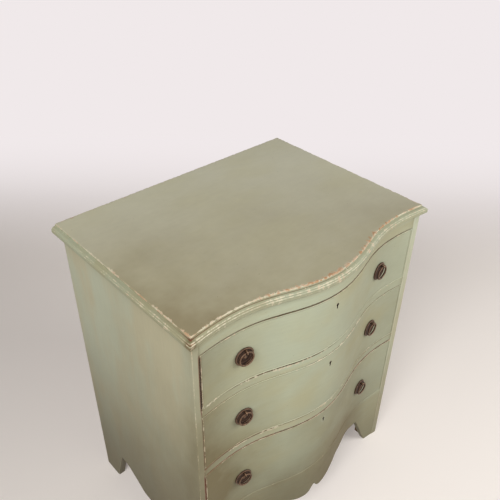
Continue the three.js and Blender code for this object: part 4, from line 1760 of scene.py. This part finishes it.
@dataclass
class Linings:
    """Boards and locks that keep their CAD meshes and get their own finishes."""

    pine: dict[Grain, Material]
    old_pine: dict[Grain, Material]
    iron: Material

    def dress(self) -> None:
        """Give each carried-over node the finish that suits its board."""
        rules = (
            (r"drawer_\d_lock", self.iron),
            (r"drawer_\d_side_(left|right)", self.pine[Grain.INWARD]),
            (r"drawer_\d_(back|bottom)", self.pine[Grain.ACROSS]),
            (r"(back_board|bottom_board|back_rail|stop).*", self.old_pine[Grain.ACROSS]),
            (r"(kicker|runner).*", self.old_pine[Grain.INWARD]),
            (r"foot_block.*", self.old_pine[Grain.UPRIGHT]),
        )
        for node, shown in frame["nodes"].items():
            for pattern, finish in rules:
                if re.fullmatch(pattern, node):
                    shown.data.materials.clear()
                    shown.data.materials.append(finish)
                    LOG.info("%s: keeps its mesh, %s", node, finish.name)


@dataclass(frozen=True)
class Nails:
    """Iron nails that hold the back boards, set by geometry nodes."""

    radius: float = 0.0026
    height: float = 0.0009
    spacing: float = 0.075
    inset: float = 0.009
    seed: int = 7
    sides: int = 14
    turns: tuple = ((1.5, -0.07, -0.07), (1.64, 0.07, 0.07))
    sizes: tuple[float, float] = (0.85, 1.15)

    def places(self) -> list[tuple[float, float, float]]:
        """Places of the nails round each back board.

        Returns:
            The middles of their undersides.
        """
        found = []
        for node in ("back_board_1", "back_board_2"):
            low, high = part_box(node)
            count = max(2, round((high.z - low.z - 2 * self.inset) / self.spacing) + 1)
            for z in np.linspace(low.z + 2 * self.inset, high.z - 2 * self.inset, count):
                found += [(x, high.y, float(z)) for x in (low.x + self.inset, high.x - self.inset)]
        return found

    def build(self, iron: Material) -> None:
        """Set one nail head on each place, each turned and sized a little differently.

        Args:
            iron: finish of the nails.
        """
        mesh = bpy.data.meshes.new("nail_places")
        mesh.from_pydata(self.places(), [], [])
        shape = Shapes("nail_heads", Radius=self.radius, Height=self.height, Seed=self.seed, Finish=iron)
        seed = {"Seed": shape.given("Seed")}
        inputs = {"Vertices": self.sides, "Radius": shape.given("Radius"), "Depth": shape.given("Height")}
        head = shape.wire("GeometryNodeMeshCylinder", None, inputs)
        span = dict(zip(("Min", "Max"), self.turns))
        turn = shape.wire("FunctionNodeRandomValue", {"data_type": "FLOAT_VECTOR"}, {**span, **seed})
        span = dict(zip((2, 3), self.sizes))
        size = shape.wire("FunctionNodeRandomValue", {"data_type": "FLOAT"}, {**span, **seed}, 1)
        inputs = {"Points": shape.given("Geometry"), "Instance": head, "Rotation": turn, "Scale": size}
        nails = shape.wire("GeometryNodeInstanceOnPoints", None, inputs)
        piece = shape.bake(linked("nail_places", mesh), "back_nails", nails)
        for key, value in (("rub", 0.3), ("edge", 1.0)):
            store(piece.data, key, np.full(len(piece.data.vertices), value))
        settle(piece, "carcase", "iron")


@dataclass
class Stage:
    """Plain pale floor that bends up into a wall square to the camera, with soft studio light."""

    yaw: float
    half_width: float = 5.0
    near: float = -5.0
    far: float = 1.95
    height: float = 4.5
    bend: float = 0.5
    shift: float = 0.85
    floor_steps: int = 9
    bend_steps: int = 32
    lamps: tuple = (("key", (-1.6, -1.0, 1.9), 1.2, 41.0), ("fill", (1.4, -1.9, 1.5), 1.4, 38.0))
    aim: tuple[float, ...] = (0.0, -0.1, 0.5)
    sky: Shade = (0.08, 0.08, 0.08, 1.0)

    def build(self, material: Material) -> None:
        """Make the sweep, and keep on it how much each place belongs to the wall.

        Args:
            material: finish of the sweep.
        """
        start = self.far - self.bend
        line = [(self.near, 0.0), *((u, 0.0) for u in np.linspace(self.shift, start, self.floor_steps))]
        for turn in np.linspace(0, math.pi / 2, self.bend_steps + 1)[1:]:
            line.append((start + self.bend * math.sin(turn), self.bend * (1 - math.cos(turn))))
        line.append((self.far, self.height))
        sine, cosine = math.sin(math.radians(self.yaw)), math.cos(math.radians(self.yaw))
        points = np.array([
            [(u * sine + w * cosine, u * cosine - w * sine, z) for u, z in line]
            for w in (-self.half_width, self.half_width)
        ])
        made = Skin()
        made.sheet(made.add(points), True)
        piece = made.piece("backdrop", [material], 60.0)
        x, y, z = np.array([v.co for v in piece.data.vertices]).T
        share = unit((x * sine + y * cosine + z - self.shift) / (self.far - self.shift))
        store(piece.data, "wall", share**2 * (3 - 2 * share))

    def light(self) -> None:
        """Two soft lamps, left and right of the front, and a dim sky that is seen pale."""
        for name, place, size, power in self.lamps:
            data = bpy.data.lights.new(name, "AREA")
            data.shape = "SQUARE"
            data.size = size
            data.energy = power
            lamp = linked(name, data)
            lamp.location = place
            lamp.rotation_euler = (Vector(self.aim) - Vector(place)).to_track_quat("-Z", "Y").to_euler()
        world = bpy.data.worlds.new("sky")
        bpy.context.scene.world = world
        world.use_nodes = True
        tree = Graph(world.node_tree)
        tint = tree.blend(tree.seen(), self.sky, PALE_WALL)
        sky = tree.wire("ShaderNodeBackground", None, {"Color": tint, "Strength": 1.0})
        tree.node("ShaderNodeOutputWorld", None, {"Surface": sky})


@dataclass(frozen=True)
class Viewpoint:
    """Camera that sees the chest from the photograph's place."""

    place: tuple[float, ...] = (-0.7651, -0.82519, 1.50057)
    yaw: float = 42.692
    pitch: float = 36.3836
    roll: float = 0.8766
    sensor: float = 36.0
    focal_share: float = 1.2215
    drop_share: float = 14.53 / 500

    def build(self) -> None:
        """Make the camera and give it to the scene."""
        yaw, pitch, roll = (math.radians(a) for a in (self.yaw, self.pitch, self.roll))
        ahead = Vector((math.sin(yaw) * math.cos(pitch), math.cos(yaw) * math.cos(pitch), -math.sin(pitch)))
        right = Vector((math.cos(yaw), -math.sin(yaw), 0))
        up = right.cross(ahead)
        across = right * math.cos(roll) + up * math.sin(roll)
        above = up * math.cos(roll) - right * math.sin(roll)
        data = bpy.data.cameras.new("camera")
        data.sensor_fit = "HORIZONTAL"
        data.sensor_width = self.sensor
        data.lens = self.sensor * self.focal_share
        data.shift_y = self.drop_share
        camera = linked("camera", data)
        turned = Matrix((across, above, -ahead)).transposed().to_4x4()
        camera.matrix_world = Matrix.Translation(Vector(self.place)) @ turned
        bpy.context.scene.camera = camera


# Per drawer: top and bottom edges (dirt and painted shade in the gap, then lost paint), dirt and painted
# shade in the left gap, rub there, and olive tint across the front and near its lower edge; the tint is
# heavier at the left ends and right of the bulge as painted shade.
DRAWER_WEAR = {
    1: DrawerWear(
        EdgeWear((0.3, 0.6, 1.0, 0.85, 0.6, 0.65, 0.4), (0.3, 0.7, 0.5, 0.6, 1.0, 0.7, 0.5)),
        EdgeWear((0.1, 0.3, 1.0, 0.8, 0.3, 0.1, 0.1), (0.5, 0.5, 0.4, 0.4, 0.5, 0.4, 0.4)),
        1.5, 1.0, (0.62, 0.26, 0.04, 0.14, 0.34, 0.32, 0.24),
    ),
    2: DrawerWear(
        EdgeWear((0.05, 0.15, 0.1, 0.4, 0.05, 0.05, 0.4), (0.3, 0.4, 0.4, 1.5, 1.7, 0.5, 0.4)),
        EdgeWear((0.4, 0.7, 0.6, 0.4, 0.5, 0.5, 0.7), (0.5, 0.5, 0.4, 0.5, 0.4, 0.4, 0.4)),
        0.45, 1.0, (0.76, 0.37, 0.08, 0.16, 0.42, 0.38, 0.38),
        (1.3, 0.72, 0.2, 0.3, 0.58, 0.46, 0.42),
    ),
    3: DrawerWear(
        EdgeWear((0.4, 0.8, 1.3, 1.2, 1.0, 1.2, 1.2), (0.6, 0.9, 1.1, 2.1, 2.6, 1.6, 1.3)),
        EdgeWear((0.1, 0.1), (0.3, 0.15)),
        0.9, 1.5, (1.35, 0.66, 0.26, 0.5, 0.68, 0.48, 0.3),
        (1.2, 1.0, 0.72, 0.62, 0.62, 0.68, 0.78, 0.9, 1.0, 1.0, 0.75, 0.3, 0.15),
    ),
}


def main() -> None:
    """Build the chest, its stage and its camera."""
    logging.basicConfig(level=logging.INFO, format="%(message)s")
    bpy.context.scene.view_settings.view_transform = "Standard"
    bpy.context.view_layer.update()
    view = Viewpoint()
    view.build()

    # The left side's paint darkens strongly towards the floor, partly grime and partly painted shade.
    case = PaintFinish(
        "case_paint", colour(199, 203, 178), colour(201, 195, 164), olive=colour(140, 134, 104),
        shade=colour(106, 98, 73), grime_height=0.6, grime_share=0.85,
    )
    # A copy for the right side that darkens less towards the floor.
    less_darkened_case = replace(case, name="clean_case_paint", grime_height=0.36, grime_share=0.45)
    side_paints = {"side_left": case.material(), "side_right": less_darkened_case.material()}
    rail_paint = PaintFinish(
        "rail_paint", colour(188, 194, 167), colour(187, 185, 152), streak=(1.2, 9.0, 26.0),
        brush=(30.0, 30.0, 230.0), rub=0.45, ragged=1.4,
    ).material()
    front_paint = PaintFinish(
        "front_paint", colour(190, 196, 170), colour(190, 188, 152), streak=(2.4, 2.4, 4.0),
        streak_shift=-0.05, brush=(25.0, 25.0, 230.0), rub=0.5, ragged=0.85,
    ).material()
    top_paint = PaintFinish(
        "top_paint", colour(211, 208, 182), colour(208, 204, 173), olive=colour(147, 136, 105),
        streak=(2.0, 5.0, 5.0), brush=(40.0, 110.0, 110.0), brush_depth=0.09, grime_height=0.0, rub=0.9,
        ragged=0.8, blush_shift=0.04, gloss=0.42,
    ).material()
    old_shades = (colour(150, 114, 74), colour(112, 78, 46), colour(76, 52, 34), 0.35)
    pine = {g: PineFinish(f"drawer_pine_{g.name.lower()}", g).material() for g in Grain}
    old = {g: PineFinish(f"carcase_pine_{g.name.lower()}", g, *old_shades).material() for g in Grain}
    bronze = MetalFinish("dark_bronze_patina").material()
    iron_shades = (colour(70, 66, 62), colour(120, 115, 108), colour(60, 40, 28))
    iron = MetalFinish("dull_iron", *iron_shades, metallic=0.85, rough=0.5).material()

    plan = Serpentine()
    Carcase(plan, side_paints, top_paint, rail_paint, old[Grain.ACROSS]).build()
    for number, worn in DRAWER_WEAR.items():
        DrawerFace(plan, number, worn, front_paint, pine[Grain.ACROSS]).build()
        for hand in Hand:
            RingPull(number, hand, bronze).build()
    Linings(pine, old, iron).dress()
    Nails().build(iron)

    stage = Stage(view.yaw)
    stage.build(StageFinish("pale_sweep").material())
    stage.light()

    bpy.context.view_layer.update()


if __name__ == "__main__":
    main()
